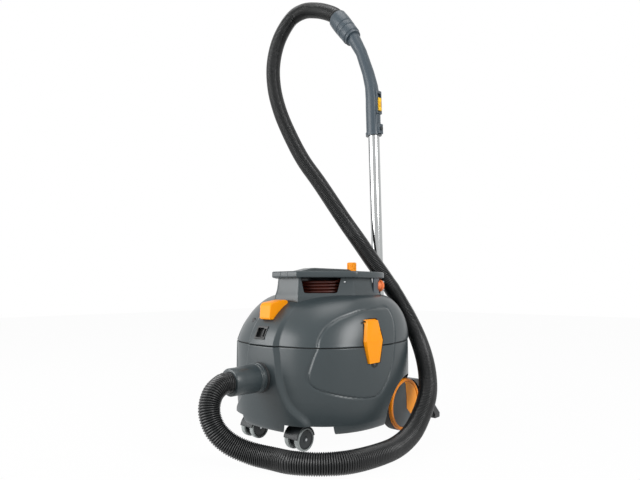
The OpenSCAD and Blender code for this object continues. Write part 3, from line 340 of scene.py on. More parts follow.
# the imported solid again, merged, with its flat faces whole and its edges rounded
def cadCopy(node, material, body, slotName, bevel):
    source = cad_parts[node]
    piece = bpy.data.objects.new(node + "_piece", source.data.copy())
    scene.collection.objects.link(piece)
    work = bmesh.new()
    work.from_mesh(piece.data)
    bmesh.ops.remove_doubles(work, verts=work.verts, dist=2e-6)
    bmesh.ops.dissolve_limit(work, angle_limit=math.radians(0.6), verts=work.verts, edges=work.edges)
    work.to_mesh(piece.data)
    work.free()
    shade(piece, material, bevel)
    return place(piece, body, slotName, node)


# hose, from the inlet's cuff along the floor and up in a loop to the handle
lean = math.radians(2.8)
cuffTurn = math.radians(36.5)
wandFoot = 256.0  # how far behind the origin the wand's line meets the floor


# a point in the parked wand's plane: x across, s along the wand from the floor
def wandPoint(x, s):
    return np.array([x, wandFoot - s * math.sin(lean), s * math.cos(lean)])


cuffLow = (-68.0, 1083.0)
cuffLength = 86.0
cuffEnd = (cuffLow[0] - cuffLength * math.sin(cuffTurn), cuffLow[1] + cuffLength * math.cos(cuffTurn))
cuffMouth = wandPoint(*cuffEnd)
cuffRun = (cuffMouth - wandPoint(*cuffLow)) / cuffLength
hose = {"diameter": 44.0, "ribPitch": 4.4, "ribDepth": 2.6}
hoseRoute = [
    (0, -264.3, 155), (0, -294, 155), (0, -312, 154), (4, -338, 138), (12, -352, 108), (28, -349, 74),
    (50, -330, 46), (82, -303, 28), (122, -284, 22), (166, -275, 22), (212, -246, 22), (246, -199, 22),
    (262, -128, 22), (262, -60, 23), (258, 0, 36), (253, 45, 62), (245, 88, 98), (226, 125, 133),
    (200, 156, 174), (160, 193, 218), (122, 212, 266), (96, 211, 308), (81, 198, 341), (68, 182, 371),
    (28, 170, 428), (-12, 164, 482), (-69, 169, 546), (-153, 160, 659), (-214, 152, 738), (-264, 147, 820),
    (-305, 143, 903), (-333, 144, 985),
    (-345, 152, 1067), (-336, 168, 1146), (-301, 186, 1206), (-254, 195, 1219), (-204, 200, 1206),
    (-160, 200, 1184), tuple(cuffMouth + 14 * cuffRun), tuple(cuffMouth), tuple(cuffMouth - 29.7 * cuffRun)]
hosePath, hoseLength = smoothCurve(hoseRoute, hose["ribPitch"] / 5)
ribShape = np.array([0.0, 0.6, 1.0, 1.0, 0.6])  # groove, flank, crown, crown, flank
ribRadii = hose["diameter"] / 2 - hose["ribDepth"] * (1 - ribShape[np.arange(len(hosePath)) % 5])
hosePiece = tube("hose_tube", hosePath, ribRadii, 20)
shade(hosePiece, hosePlastic, smoothAngle=75)
place(hosePiece, "base", "hose", "hose")
print("hose", round(hoseLength), "mm long")

# mains lead, five layers wound up and down the drum
lead = {"diameter": 7.0, "pitch": 7.6, "lowZ": 339.8, "turns": 3.5, "radii": (62.6, 70.2, 77.8, 85.4, 93.0),
        "from": 150.0}
layers = []
for i, radius in enumerate(lead["radii"]):
    t = np.arange(0, lead["turns"] * 360 + 1, 10.0)
    rise = lead["pitch"] * t / 360
    z = lead["lowZ"] + (rise if i % 2 == 0 else lead["pitch"] * lead["turns"] - rise)
    a = np.radians(lead["from"] + i * lead["turns"] * 360 + t)
    if i:
        z, a = z[3:], a[3:]
    layers.append(np.stack([radius * np.cos(a), radius * np.sin(a), z], -1))
plug = {"at": (111.0, 88.0, 358.0), "pinGap": 19.0}
leadTail = [(92, -24, 372.3), (101.5, 0, 370), (108, 20, 364), (111, 38, 359), (111, 46, 358), (111, 50, 358)]
leadPath, leadLength = smoothCurve(np.vstack(layers + [np.array(leadTail, float)]), 5.0)
leadPiece = tube("lead_winding", leadPath, lead["diameter"] / 2, 12)
shade(leadPiece, leadSheathAndShade, smoothAngle=60)
place(leadPiece, "head", "lead", "mains_cord", "cord_core")
print("lead", round(leadLength), "mm long")
px, py, pz = plug["at"]
plugProfile = [
    (0, 0), (13.6, 0), (15.2, 0.6), (15.5, 1.6), (15.5, 6.6), (14.8, 8), (13, 8.4), (12.5, 9.2), (12.3, 12),
    (10.6, 15.5), (9, 18), (8.2, 21), (8.2, 22.4), (7.4, 22.8), (7.4, 24), (8, 24.4), (7.9, 26.4),
    (7.1, 26.8), (7.1, 28), (7.7, 28.4), (7.5, 30.4), (6.8, 30.8), (6.8, 32), (7.3, 32.4), (7.1, 34.4),
    (6.4, 34.8), (6.3, 38), (0, 38)]
plugBody = revolve("plug_body", plugProfile, plug["at"], (0, -1, 0), 48)
shade(plugBody, plugRubber, smoothAngle=30)
place(plugBody, "head", "orange_rubber", "plug")
pinProfile = [(0, -19), (1.6, -19), (2.4, -17.6), (2.4, 0.4), (0, 0.4)]
for k, side in enumerate((-1, 1)):
    pin = revolve(f"plug_pin_{k}", pinProfile, (px, py, pz + side * plug["pinGap"] / 2), (0, -1, 0), 24)
    place(shade(pin, zincSteel, smoothAngle=30), "head", "steel")

# body: tub and head on one superellipse loft, with the panels raised out of it in soft steps
body = {"halfWidth": 195.0, "front": 200.0, "rear": 205.0, "power": 2.5, "bottomZ": 42.0, "wall": 4.0,
        "floorZ": 75.0, "seamZ": 225.0, "seamGap": 2.4, "topZ": 336.0, "topHalf": 128.0, "topFront": 78.0,
        "sidePower": 2.2, "frontPower": 1.7, "rearPower": 1.4, "around": 176, "fine": 720, "level": 2.2}
relief = {"front": 9.0, "frontStep": 11.0, "side": 0.8, "sideRear": 3.4, "sideStep": 2.4, "groove": 1.9,
          "grooveRear": 2.9, "grooveHalf": 1.8, "grooveHalfRear": 3.6}
lip = {"radius": 1.1, "ease": 0.35, "rise": 2.2}  # the rounded edges on both sides of the seam
seamLow = body["seamZ"] - body["seamGap"] / 2
seamHigh = body["seamZ"] + body["seamGap"] / 2


# a superellipse in plan at height z, with its own power before and behind the middle, in even steps
def planRing(half, front, rear, power, z, rearPower=None, count=None):
    count = count or body["around"]
    t = np.linspace(0, 2 * np.pi, 2881)
    c, s = np.cos(t), np.sin(t)
    e = np.where(s < 0, 2 / power, 2 / (rearPower or power))
    x = half * np.sign(c) * np.abs(c) ** e
    y = np.where(s < 0, front, rear) * np.sign(s) * np.abs(s) ** e
    run = np.concatenate([[0], np.cumsum(np.hypot(np.diff(x), np.diff(y)))])
    even = np.linspace(0, run[-1], count, endpoint=False)
    return np.stack([np.interp(even, run, x), np.interp(even, run, y), np.full(count, float(z))], -1)


def tubRing(z, grow, count=None):
    knots = [40, 42, 45, 50, 60, 85, 110, 140, 165, 195, 225, 240]
    share = [0.94, 0.955, 0.968, 0.978, 0.988, 0.997, 1.004, 1.0065, 1.006, 1.0035, 1.0, 0.998]
    k = np.interp(z, knots, share)
    return planRing(body["halfWidth"] * k + grow, body["front"] * k + grow, body["rear"] * k + grow,
                    body["power"], z, count=count)


def domeRise(z):
    return float(np.clip((z - seamHigh) / (body["topZ"] - seamHigh), 0, 1))


def domeShare(z, power):
    return (1 - domeRise(z) ** power) ** (1 / power)


def domeFront(z):
    return body["topFront"] + (body["front"] - body["topFront"]) * domeShare(z, body["frontPower"])


# the dome's plan at height z: its sides, front and rear narrow along superellipses of their own
def domeRing(z, grow, count=None):
    top, k = body["topHalf"], 1 - domeShare(z, 0.7)
    half = top + (body["halfWidth"] - top) * domeShare(z, body["sidePower"]) + grow
    rear = top + (body["rear"] - top) * domeShare(z, body["rearPower"]) + grow
    return planRing(half, domeFront(z) + grow, rear, body["power"] - 0.5 * k, z,
                    body["power"] + 0.3 * k, count)


domeSteps = 1 - (1 - np.linspace(0, 1, 28)) ** 2.2  # closer levels where the shoulder turns
frontHalf = [(39, 312), (38, 225), (43, 200), (49, 153), (62, 118), (77, 94), (112, 66), (112, 30)]
frontOutline = frontHalf + [(-x, z) for x, z in frontHalf[::-1]]
sideOutline = [
    (20, 309), (-25, 306), (-66, 301), (-113, 286), (-142, 267), (-160, 243), (-170, 212), (-178, 172),
    (-178, 152), (-168, 138), (-148, 130), (-112, 120), (-75, 114), (-50, 113), (-27, 119), (-8, 138),
    (9, 160), (22, 192), (28, 225), (31, 255), (31, 285), (28, 303)]
latch = {"y": -50.0, "midZ": 236.0, "height": 96.0, "width": 60.0, "endWidth": 36.0, "thick": 9.0,
         "lean": 6.0, "face": 196.5, "gap": 1.2}
latchTop = latch["midZ"] + latch["height"] / 2
latchLow = latch["midZ"] - latch["height"] / 2
latchPin = (latch["face"] - latch["lean"] - latch["thick"] / 2 - 3, latch["y"], latchTop - 5)


# round each corner of a closed outline with a quadratic arc that starts radius away from it
def rounded(outline, radius, steps=4):
    p = np.asarray(outline, float)
    before = np.roll(p, 1, 0) - p
    after = np.roll(p, -1, 0) - p
    lb = np.linalg.norm(before, axis=1)[:, None]
    la = np.linalg.norm(after, axis=1)[:, None]
    a = p + before / lb * np.minimum(radius, lb * 0.45)
    b = p + after / la * np.minimum(radius, la * 0.45)
    t = np.linspace(0, 1, steps + 1)[None, :, None]
    arc = (1 - t) ** 2 * a[:, None] + 2 * t * (1 - t) * p[:, None] + t ** 2 * b[:, None]
    return arc.reshape(-1, 2)


# distance in mm from points (a, b) to a closed outline, positive inside it
def edgeDistance(outline, a, b):
    p = np.asarray(outline, float)
    q = np.roll(p, -1, 0)
    d = q - p
    a, b = a[..., None], b[..., None]
    t = np.clip(((a - p[:, 0]) * d[:, 0] + (b - p[:, 1]) * d[:, 1]) / np.maximum((d ** 2).sum(1), 1e-9), 0, 1)
    gap = np.hypot(a - p[:, 0] - t * d[:, 0], b - p[:, 1] - t * d[:, 1]).min(-1)
    rise = np.where(np.abs(d[:, 1]) < 1e-9, 1e-9, d[:, 1])
    crosses = ((p[:, 1] > b) != (q[:, 1] > b)) & (a < d[:, 0] * (b - p[:, 1]) / rise + p[:, 0])
    return np.where(crosses.sum(-1) % 2 == 1, gap, -gap)


def softStep(value):
    t = np.clip(value, 0, 1)
    return t * t * (3 - 2 * t)


# rings moved outwards: the front panel by a soft step along -Y that fades up the dome, the side panels
# square to the wall by a step with a groove round it, both larger towards the rear
def raisePanels(rings):
    rings = np.asarray(rings, float)
    x, y, z = rings[..., 0], rings[..., 1], rings[..., 2]
    along = np.roll(rings, -1, 1) - np.roll(rings, 1, 1)
    across = np.stack([along[..., 1], -along[..., 0]], -1)
    across /= np.linalg.norm(across, axis=-1)[..., None]
    fade = 1 - np.clip((z - seamHigh) / (body["topZ"] - seamHigh), 0, 1)
    depth = edgeDistance(rounded(frontOutline, 14), x, z)
    front = relief["front"] * fade * softStep(1 + depth / relief["frontStep"]) * (y < 0)
    depth = edgeDistance(rounded(sideOutline, 12), y, z)
    proud = relief["side"] + (relief["sideRear"] - relief["side"]) * softStep((y + 90) / 120)
    rear = softStep((y + 40) / 50)
    half = relief["grooveHalf"] + (relief["grooveHalfRear"] - relief["grooveHalf"]) * rear
    deep = relief["groove"] + (relief["grooveRear"] - relief["groove"]) * rear
    groove = deep * np.exp(-(depth / half) ** 2)
    side = (proud * softStep(depth / relief["sideStep"]) - groove) * (np.abs(x) > 60)
    moved = rings.copy()
    moved[..., :2] += side[..., None] * across
    moved[..., 1] -= front
    return moved


# the plain tub as a solid, grown by a distance, to limit what is added to its wall
def tubForm(name, grow):
    levels = [body["bottomZ"], 43, 45, 50, 60, 72, 85, 100, 125, 145, 165, 185, 205, 218, seamLow]
    return loft(name, [tubRing(z, grow) for z in levels])


# the plain dome, to limit what is added to its wall and to cut the neck's foot
def domeForm(name, grow):
    return loft(name, [domeRing(z, grow) for z in seamHigh + (body["topZ"] - seamHigh) * domeSteps])


def latchOutline(grow):
    w = latch["width"] / 2 + grow
    e = latch["endWidth"] / 2 + grow
    y, low, mid, top = latch["y"], latchLow - grow, latch["midZ"], latchTop + grow
    return rounded([(y - e, low), (y + e, low), (y + w, mid), (y + e, top), (y - e, top), (y - w, mid)], 2.5)


# the latch's outline between two leaning planes front and back behind its face
def latchSlab(name, side, front, back, grow):
    slab = prism(name, latchOutline(grow), 120 * side, 260 * side, "X")
    f, m, low, top = latch["face"], latch["midZ"], latchLow - 20, latchTop + 4
    section = [(f - front, low), (f - front, m), (f - latch["lean"] - front, top),
               (f - latch["lean"] - back, top), (f - back, m), (f - back, low)]
    outline = prism(name + "_s", [(side * x, z) for x, z in section], -130, 30, "Y")
    return boolean(slab, outline, "INTERSECT")


# a plain round cutter that starts at origin
def cylinder(name, radius, origin, axis, length, around=64):
    return revolve(name, [(0, 0), (radius, 0), (radius, length), (0, length)], origin, axis, around)


# a plain box cutter from its lowest to its highest corner
def block(name, low, high):
    corners = [(low[0], low[1]), (high[0], low[1]), (high[0], high[1]), (low[0], high[1])]
    return prism(name, corners, low[2], high[2], "Z")


# a ball round origin
def ball(name, radius, origin):
    half = [(radius * math.sin(a), -radius * math.cos(a)) for a in np.linspace(0, math.pi, 17)]
    return revolve(name, half, origin, (0, 0, 1), 40)


def cut(piece, *cutters):
    for cutter in cutters:
        boolean(piece, cutter, solver="MANIFOLD")


def add(piece, *others):
    for other in others:
        boolean(piece, other, "UNION", "MANIFOLD")


arch = {"y": 98.0, "z": 43.0, "radius": 100.0, "inX": 128.0}
caster = {"x": 73.0, "y": -142.0, "wellRadius": 53.0, "wellLow": 30, "wellDeep": 30, "bushBore": 8.3,
          "trail": 18, "wheelZ": 25, "wheelOut": 9}
inlet = {"y": -209, "z": 155, "bore": 30.3, "face": 34.3, "cuffY": -215.3}
wheel = {"y": 120, "z": 65, "axleBore": 6.3}
finger = {"out": 4, "up": 2, "pad": 19, "hollow": 13.5}  # the balls at each latch's lower end
fine = body["fine"]

levels = np.concatenate([[body["bottomZ"], 43, 44.5, 46.5, 49], np.arange(52, seamLow - 2.4, body["level"]),
                         [seamLow - lip["rise"], seamLow - lip["radius"]]])
outer = raisePanels([tubRing(z, 0, fine) for z in levels])
mouth = raisePanels([tubRing(seamLow - lip["ease"], -lip["ease"], fine),
                     tubRing(seamLow, -lip["radius"], fine)])
inner = [tubRing(z, -body["wall"], fine) for z in (seamLow, 195, 165, 140, 110, 83)]
inner.append(tubRing(body["floorZ"], -10, fine))
tub = outwards(loft("tub_shell", np.concatenate([outer, mouth, inner])))
for side in (1, -1):
    liningAt = ((arch["inX"] - body["wall"]) * side, arch["y"], arch["z"])
    liningRound = cylinder("lining_cut", arch["radius"] + body["wall"], liningAt, (side, 0, 0), 120, 96)
    lining = boolean(tubForm("lining", -2), liningRound, "INTERSECT")
    pad = boolean(latchSlab("pad", side, 2, latch["thick"] + 5, 7), tubForm("pad_limit", -1), "INTERSECT")
    fingerAt = ((latch["face"] + finger["out"]) * side, latch["y"], latchLow + finger["up"])
    fingerPad = boolean(ball("finger_pad", finger["pad"], fingerAt), tubForm("finger_limit", -1), "INTERSECT")
    add(tub, lining, pad, fingerPad)
for side in (1, -1):
    fingerAt = ((latch["face"] + finger["out"]) * side, latch["y"], latchLow + finger["up"])
    archAt = (arch["inX"] * side, arch["y"], arch["z"])
    wellAt = (caster["x"] * side, caster["y"], caster["wellLow"])
    outerWellAt = ((caster["x"] + 23) * side, caster["y"] - 6, caster["wellLow"])
    cut(tub, cylinder("arch_cut", arch["radius"], archAt, (side, 0, 0), 120, 96),
        cylinder("well_cut", caster["wellRadius"], wellAt, (0, 0, 1), caster["wellDeep"]),
        cylinder("well_cut", caster["wellRadius"] + 6, outerWellAt, (0, 0, 1), caster["wellDeep"]),
        latchSlab("pocket", side, -40, latch["thick"] + 1, latch["gap"]),
        ball("finger_hollow", finger["hollow"], fingerAt),
        cylinder("bush_cut", caster["bushBore"], (caster["x"] * side, caster["y"], 40), (0, 0, 1), 34))
cut(tub, loft("plate_recess", [tubRing(z, -6) for z in (38, 45)]),
    cylinder("inlet_cut", inlet["bore"], (0, -220, inlet["z"]), (0, 1, 0), 60),
    cylinder("inlet_face", inlet["face"], (0, inlet["y"], inlet["z"]), (0, -1, 0), 20),
    cylinder("axle_cut", wheel["axleBore"], (-150, wheel["y"], wheel["z"]), (1, 0, 0), 300))
shade(tub, greyAbs, smoothAngle=28)
place(tub, "base", "housing", "tub")
print("tub", len(tub.data.polygons), "faces")

outlet = {"x": -6.0, "z": 253.0, "tilt": math.radians(26), "half": 17.3, "halfHeight": 15.8, "deep": 12.3}
button = {"x": -64, "y": -188, "z": 277, "bore": 5.05}
outletAt = (outlet["x"], -domeFront(outlet["z"]) - relief["front"] * (1 - domeRise(outlet["z"])), outlet["z"])
rise = np.linspace(0, 1, 62)
levels = seamHigh + lip["rise"] + (body["topZ"] - seamHigh - lip["rise"]) * (1 - (1 - rise) ** 1.9)
mouth = raisePanels([domeRing(seamHigh, -lip["radius"], fine),
                     domeRing(seamHigh + lip["ease"], -lip["ease"], fine)])
outer = raisePanels([domeRing(z, 0, fine) for z in [seamHigh + lip["radius"], *levels]])
inner = [domeRing(z, -body["wall"], fine)
         for z in seamHigh + (body["topZ"] - body["wall"] - seamHigh) * domeSteps[::-2]]
inner = [domeRing(seamHigh, -body["wall"], fine)] + inner[::-1]
head = outwards(loft("head_dome", np.concatenate([np.array(inner)[::-1], mouth, outer])))


# turn a piece's points about X by -tilt round the origin, then move it there
def tilted(piece, tilt, origin):
    co = np.empty(len(piece.data.vertices) * 3)
    piece.data.vertices.foreach_get("co", co)
    co = co.reshape(-1, 3)
    y = co[:, 1] * math.cos(tilt) + co[:, 2] * math.sin(tilt)
    z = -co[:, 1] * math.sin(tilt) + co[:, 2] * math.cos(tilt)
    piece.data.vertices.foreach_set("co", (np.stack([co[:, 0], y, z], -1) + np.asarray(origin) * mm).ravel())
    piece.data.update()
    return piece


for side in (1, -1):
    pad = latchSlab("pad", side, 2, latch["thick"] + 5, 7)
    add(head, boolean(pad, domeForm("pad_limit", -1), "INTERSECT"))
# the lead's coupler sits in a stepped seat, cut into a pad behind the wall; both are drawn in Y and Z
padSection = [(-200, 277), (-169, 277), (-153, 297), (-141, 304), (-128, 312), (-128, 341), (-200, 341)]
seatSection = [(-230, 280.4), (-173.4, 280.4), (-157.4, 299.6), (-145.6, 307.4), (-132.4, 316.6),
               (-132.4, 350), (-230, 350)]
add(head, boolean(prism("seat_pad", padSection, -28, 16, "X"), domeForm("seat_limit", -1), "INTERSECT"))
pinRoom = {"radius": 6.2, "half": 19.4}
for side in (1, -1):
    roomAt = (latchPin[0] * side, latchPin[1] - pinRoom["half"], latchPin[2])
    cut(head, latchSlab("pocket", side, -40, latch["thick"] + 1, latch["gap"]),
        cylinder("pin_room", pinRoom["radius"], roomAt, (0, 1, 0), 2 * pinRoom["half"], 32))
vent = {"count": 6, "half": 55, "low": 250, "pitch": 8, "tall": 4}
ventLows = [vent["low"] + vent["pitch"] * i for i in range(vent["count"])]
outletSeat = block("outlet_seat", (-outlet["half"], -5, -outlet["halfHeight"]),
                   (outlet["half"], outlet["deep"], outlet["halfHeight"]))
cut(head, prism("coupler_seat", seatSection, -23.8, 11.8, "X"),
    tilted(outletSeat, outlet["tilt"], outletAt),
    cylinder("button_hole", button["bore"], (button["x"], button["y"], button["z"]), (0, 1, 0), 60, 32),
    *[block("vent", (-vent["half"], 100, z), (vent["half"], 220, z + vent["tall"])) for z in ventLows])
shade(head, greyAbs, smoothAngle=28)
place(head, "head", "housing", "head_shell")
print("head", len(head.data.polygons), "faces")

# neck and ring handle: one outline, round with a flat front and chamfered front corners
ring = {"z": 376.0, "thick": 15.0, "half": 136.0, "front": 135.6, "chamfer": 122.0, "knobY": 117.0,
        "bossRadius": 13.5, "knobBore": 4.05, "joints": (-12.2, 11.4), "jointWidth": 0.8}
chamferOut = np.array([0.728, -0.685])  # the way that the front corners face, in plan
chamferRun = np.array([-chamferOut[1], chamferOut[0]])


def ringOutline(inset, z, count=240):
    t = np.linspace(0, 2 * np.pi, count, endpoint=False)
    c, s = np.abs(np.cos(t)), np.sin(t)
    a, n = ring["half"] - inset, 3.2
    reach = np.where(s < 0, ring["front"] - inset + 12, a - 2)
    r = ((c / a) ** n + (np.abs(s) / reach) ** n) ** (-1 / n)
    flat = np.where(s < 0, (ring["front"] - inset) / np.maximum(-s, 0.01), 1000)
    facing = chamferOut[0] * c + chamferOut[1] * s
    corner = np.where(s < 0, (ring["chamfer"] - inset) / np.maximum(facing, 0.01), 1000)
    r = np.minimum(np.minimum(r, flat), corner)
    return np.stack([r * np.cos(t), r * s, np.full(count, float(z))], -1)


# a four-cornered cutter through one front corner of the neck, each corner given along the chamfer and in Z
def cornerWindow(name, side, corners, near, far):
    flat = rounded(corners, 5)
    rows = []
    for depth in (near, far):
        xy = depth * chamferOut + flat[:, :1] * chamferRun
        rows.append(np.stack([side * xy[:, 0], xy[:, 1], flat[:, 1]], -1))
    return outwards(loft(name, rows))


neckFoot = [(body["topZ"] - 16, 6), (body["topZ"] - 6, 6), (body["topZ"] - 2, 6.6), (body["topZ"] + 2, 8),
            (body["topZ"] + 6, 9.4), (body["topZ"] + 11, 10.8), (body["topZ"] + 18, 12.0), (ring["z"], 14.5)]
neck = outwards(loft("neck_wall", [ringOutline(inset, z) for z, inset in neckFoot]))
boolean(neck, loft("neck_hollow", [ringOutline(17, body["topZ"] - 0.01), ringOutline(17, ring["z"] + 1)]))
boolean(neck, domeForm("neck_seat", 0))
windows = {"low": body["topZ"] + 4.2, "top": ring["z"] + 1, "topFrom": -62.0, "topTo": 35.0,
           "lowFrom": -53.0, "lowTo": 23.0}
screw = {"x": 106.6, "y": -44, "z": 366}
for side in (1, -1):
    corners = [(windows["lowFrom"], windows["low"]), (windows["lowTo"], windows["low"]),
               (windows["topTo"], windows["top"] + 6), (windows["topFrom"], windows["top"] + 6)]
    boolean(neck, cornerWindow("neck_window", side, corners, 88, 130))
    lowX, highX = sorted((40 * side, 190 * side))
    boolean(neck, block("neck_back", (lowX, 43, body["topZ"] + 4), (highX, 193, ring["z"] + 1)))
    screwAt = (screw["x"] * side, screw["y"], screw["z"])
    boolean(neck, cylinder("screw_sink", 3.4, screwAt, (chamferOut[0] * side, chamferOut[1], 0), 10, 24))
shade(neck, greyAbs, bevel=0.7, smoothAngle=30)
place(neck, "head", "housing", "neck")
screwHead = [(0, -3), (2.4, -3), (2.4, 0.6), (2.0, 1.1), (0.9, 1.3), (0.8, 0.5), (0, 0.5)]
for side, name in ((1, "left"), (-1, "right")):
    screwAt = (screw["x"] * side, screw["y"], screw["z"])
    piece = revolve("neck_screw_" + name, screwHead, screwAt, (chamferOut[0] * side, chamferOut[1], 0), 24)
    shade(piece, zincSteel, smoothAngle=30)
    place(piece, "head", "steel", *(["neck_screws"] if side > 0 else []))

ringLow, ringHigh = ring["z"], ring["z"] + ring["thick"]
band = [(34, ringLow), (3, ringLow), (1.4, ringLow + 0.5), (0.3, ringLow + 1.8), (0, ringLow + 3.4),
        (0, ringHigh - 3.6), (0.4, ringHigh - 2), (1.5, ringHigh - 0.6), (3.2, ringHigh), (30, ringHigh),
        (32.6, ringHigh - 0.6), (33.7, ringHigh - 2), (34, ringHigh - 3.6)]
rings = np.array([ringOutline(inset, z) for inset, z in band])
ringFaces = gridFaces(len(rings), rings.shape[1], closeRows=True)
ringPiece = outwards(meshObject("ring_band", rings * mm, ringFaces))
boss = cylinder("knob_boss", ring["bossRadius"], (0, ring["knobY"], ringHigh - 3), (0, 0, 1), 9)
boolean(ringPiece, boss, "UNION")
bore = cylinder("knob_bore", ring["knobBore"], (0, ring["knobY"], ringLow + 4), (0, 0, 1), 40, 32)
boolean(ringPiece, bore)
for x in ring["joints"]:
    joint = block("ring_joint", (x, -150, ringLow - 1), (x + ring["jointWidth"], -134.4, ringHigh + 1))
    boolean(ringPiece, joint)
shade(ringPiece, greyAbs, smoothAngle=30)
place(ringPiece, "head", "housing", "ring_handle")
print("neck and ring made")

# rear wheels' orange sectors, a little proud of the discs
sector = {"y": 118.0, "z": 56.0, "from": -40.0, "to": 90.0, "radius": 55.0, "proud": 0.5, "thick": 1.2}
# the disc's face: distances from its middle, and x there
faceKnots = ([0, 28, 48, 54, 56], [171.4, 170.6, 168.5, 166.6, 166])
for side, name in ((1, "left"), (-1, "right")):
    a = np.radians(np.linspace(sector["from"], sector["to"], 48))[None, :]
    off = np.array([sector["y"] - wheel["y"], sector["z"] - wheel["z"]])
    b = off[0] * np.cos(a) + off[1] * np.sin(a)
    reach = -b + np.sqrt(b ** 2 - (off @ off - sector["radius"] ** 2))  # from the apex to the disc's edge
    u = np.linspace(0, 1, 26)[:, None]
    y = off[0] + u * reach * np.cos(a)
    z = off[1] + u * reach * np.sin(a)
    face = np.interp(np.hypot(y, z), *faceKnots) + sector["proud"]
    top = np.stack([side * face, y + wheel["y"], z + wheel["z"]], -1)
    bottom = np.stack([side * (face - sector["thick"]), y + wheel["y"], z + wheel["z"]], -1)
    piece = plate("disc_sector_" + name, top, bottom)
    place(shade(piece, orangeAbs, smoothAngle=30), "wheel_" + name[0], "orange_plastic")

# casters: dark discs in pale treads
treadProfile = [(20.4, 10.2), (21.4, 12.4), (23.6, 12.6), (24.6, 11.8), (25, 10), (25, 2), (24.4, 0.4),
                (20.4, 0.4)]
discProfile = [(3.05, 0.6), (20.2, 0.6), (20.2, 11.6), (19.6, 12.2), (18.4, 12.2), (17.6, 11.2), (8, 11.6),
               (7.2, 12.6), (3.05, 12.8)]
for side, name in ((1, "left"), (-1, "right")):
    for end, way in (("outer", 1), ("inner", -1)):
        origin = (caster["x"] * side + caster["wheelOut"] * way,
                  caster["y"] - caster["trail"], caster["wheelZ"])
        tread = revolve(f"caster_tread_{name}_{end}", treadProfile, origin, (way, 0, 0), 64, closed=True)
        disc = revolve(f"caster_disc_{name}_{end}", discProfile, origin, (way, 0, 0), 64, closed=True)
        place(shade(tread, casterTread, smoothAngle=40), "caster_wheels_" + name[0], "caster_tread",
              *(["caster_wheels_" + name] if way > 0 else []))
        place(shade(disc, darkAbs, smoothAngle=30), "caster_wheels_" + name[0], "caster_tread")

# the inlet's cuff: a smooth sleeve with two collars near the socket that it swivels in
inletCuff = [
    (18, -34), (24.95, -34), (24.95, 0), (31.5, 0), (33, 0.8), (33.4, 2.4), (33, 4), (31.6, 4.6), (31.2, 6.4),
    (32, 7), (32.8, 8), (32.8, 9.6), (32, 10.6), (30.8, 11.2), (30.4, 12.8), (31, 14), (31.2, 16), (30.2, 48),
    (29.6, 58), (29.4, 76.6), (28.8, 77.7), (27.6, 78.3), (22.3, 78.3), (22.3, 48.6), (18, 48.6)]
cuffAt = (0, inlet["cuffY"], inlet["z"])
inletCuffPiece = revolve("inlet_cuff", inletCuff, cuffAt, (0, -1, 0), 96, closed=True)
place(shade(inletCuffPiece, greyAbs, smoothAngle=40), "inlet_cuff", "black_plastic", "hose_cuff")
print("wheels and cuffs made")

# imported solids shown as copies, each with its finish, body, slot and the width in mm of its rounded edges
carried = {
    "base_plate": (darkAbs, "base", "dark_plastic", 0.0),
    "inlet_socket": (blackAbs, "base", "black_plastic", 0.5),
    "wand_holder": (darkAbs, "base", "dark_plastic", 1.2),
    "bag_collar": (darkAbs, "base", "dark_plastic", 0.6),
    "carry_handle": (greyAbs, "head", "housing", 3.0),
    "cord_drum": (darkAbs, "head", "dark_plastic", 0.8),
    "brush_outlet": (blackAbs, "head", "black_plastic", 0.5),
    "lead_coupler": (orangeAbs, "head", "orange_plastic", 2.4),
    "power_knob": (orangeAbs, "knob", "orange_plastic", 0.5),
    "reset_button": (blackAbs, "button", "black_plastic", 0.5),
    "plug_dock": (slateAbs, "head", "slate_plastic", 0.5),
    "latch_left": (orangeAbs, "latch_l", "orange_plastic", 1.6),
    "latch_right": (orangeAbs, "latch_r", "orange_plastic", 1.6),
    "tyre_left": (tyreRubber, "wheel_l", "tyre", 1.2),
    "tyre_right": (tyreRubber, "wheel_r", "tyre", 1.2),
    "wheel_disc_left": (greyAbs, "wheel_l", "housing", 0.5),
    "wheel_disc_right": (greyAbs, "wheel_r", "housing", 0.5),
    "wheel_rim_left": (rimAbs, "wheel_l", "orange_plastic", 0.5),
    "wheel_rim_right": (rimAbs, "wheel_r", "orange_plastic", 0.5),
    "caster_fork_left": (darkAbs, "caster_l", "dark_plastic", 0.8),
    "caster_fork_right": (darkAbs, "caster_r", "dark_plastic", 0.8),
    "handle_cuff": (slateAbs, "grip_cuff", "black_plastic", 0.3),
    "handle": (slateAbs, "base", "slate_plastic", 0.8),
    "suction_slide": (yellowAbs, "air_slide", "yellow_plastic", 0.6),
    "wand_button": (darkAbs, "lock_button", "dark_plastic", 0.5),
    "tool_neck": (blackAbs, "base", "black_plastic", 0.6),
    "tool_body": (blackAbs, "floor_tool", "black_plastic", 2.0),
    "tool_pedal": (slateAbs, "pedal", "slate_plastic", 1.0),
    "tool_rollers": (darkAbs, "rollers", "dark_plastic", 0.5),
    "tool_brushes": (bristleNylon, "brushes", "bristle", 0.3),
}
for node, (material, bodyName, slotName, bevel) in carried.items():
    cadCopy(node, material, bodyName, slotName, bevel)
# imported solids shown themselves, with only a finish
plain = {"caster_bush_left": zincSteel, "caster_bush_right": zincSteel, "rear_axle": zincSteel,
         "filter_bag": filterFleece, "head_plate": darkAbs, "seam_seal": sealFoam,
         "exhaust_filter": filterFleece, "motor": castAluminium, "fan_housing": darkAbs,
         "fan_wheel": castAluminium, "filter_basket": darkAbs, "latch_pins": blackSteel,
         "caster_axle_left": zincSteel, "caster_axle_right": zincSteel, "wand_tube": stainlessTube,
         "tool_sole": zincSteel}
for node, material in plain.items():
    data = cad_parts[node].data
    data.materials.clear()
    data.materials.append(material)
print("packed pieces finished")

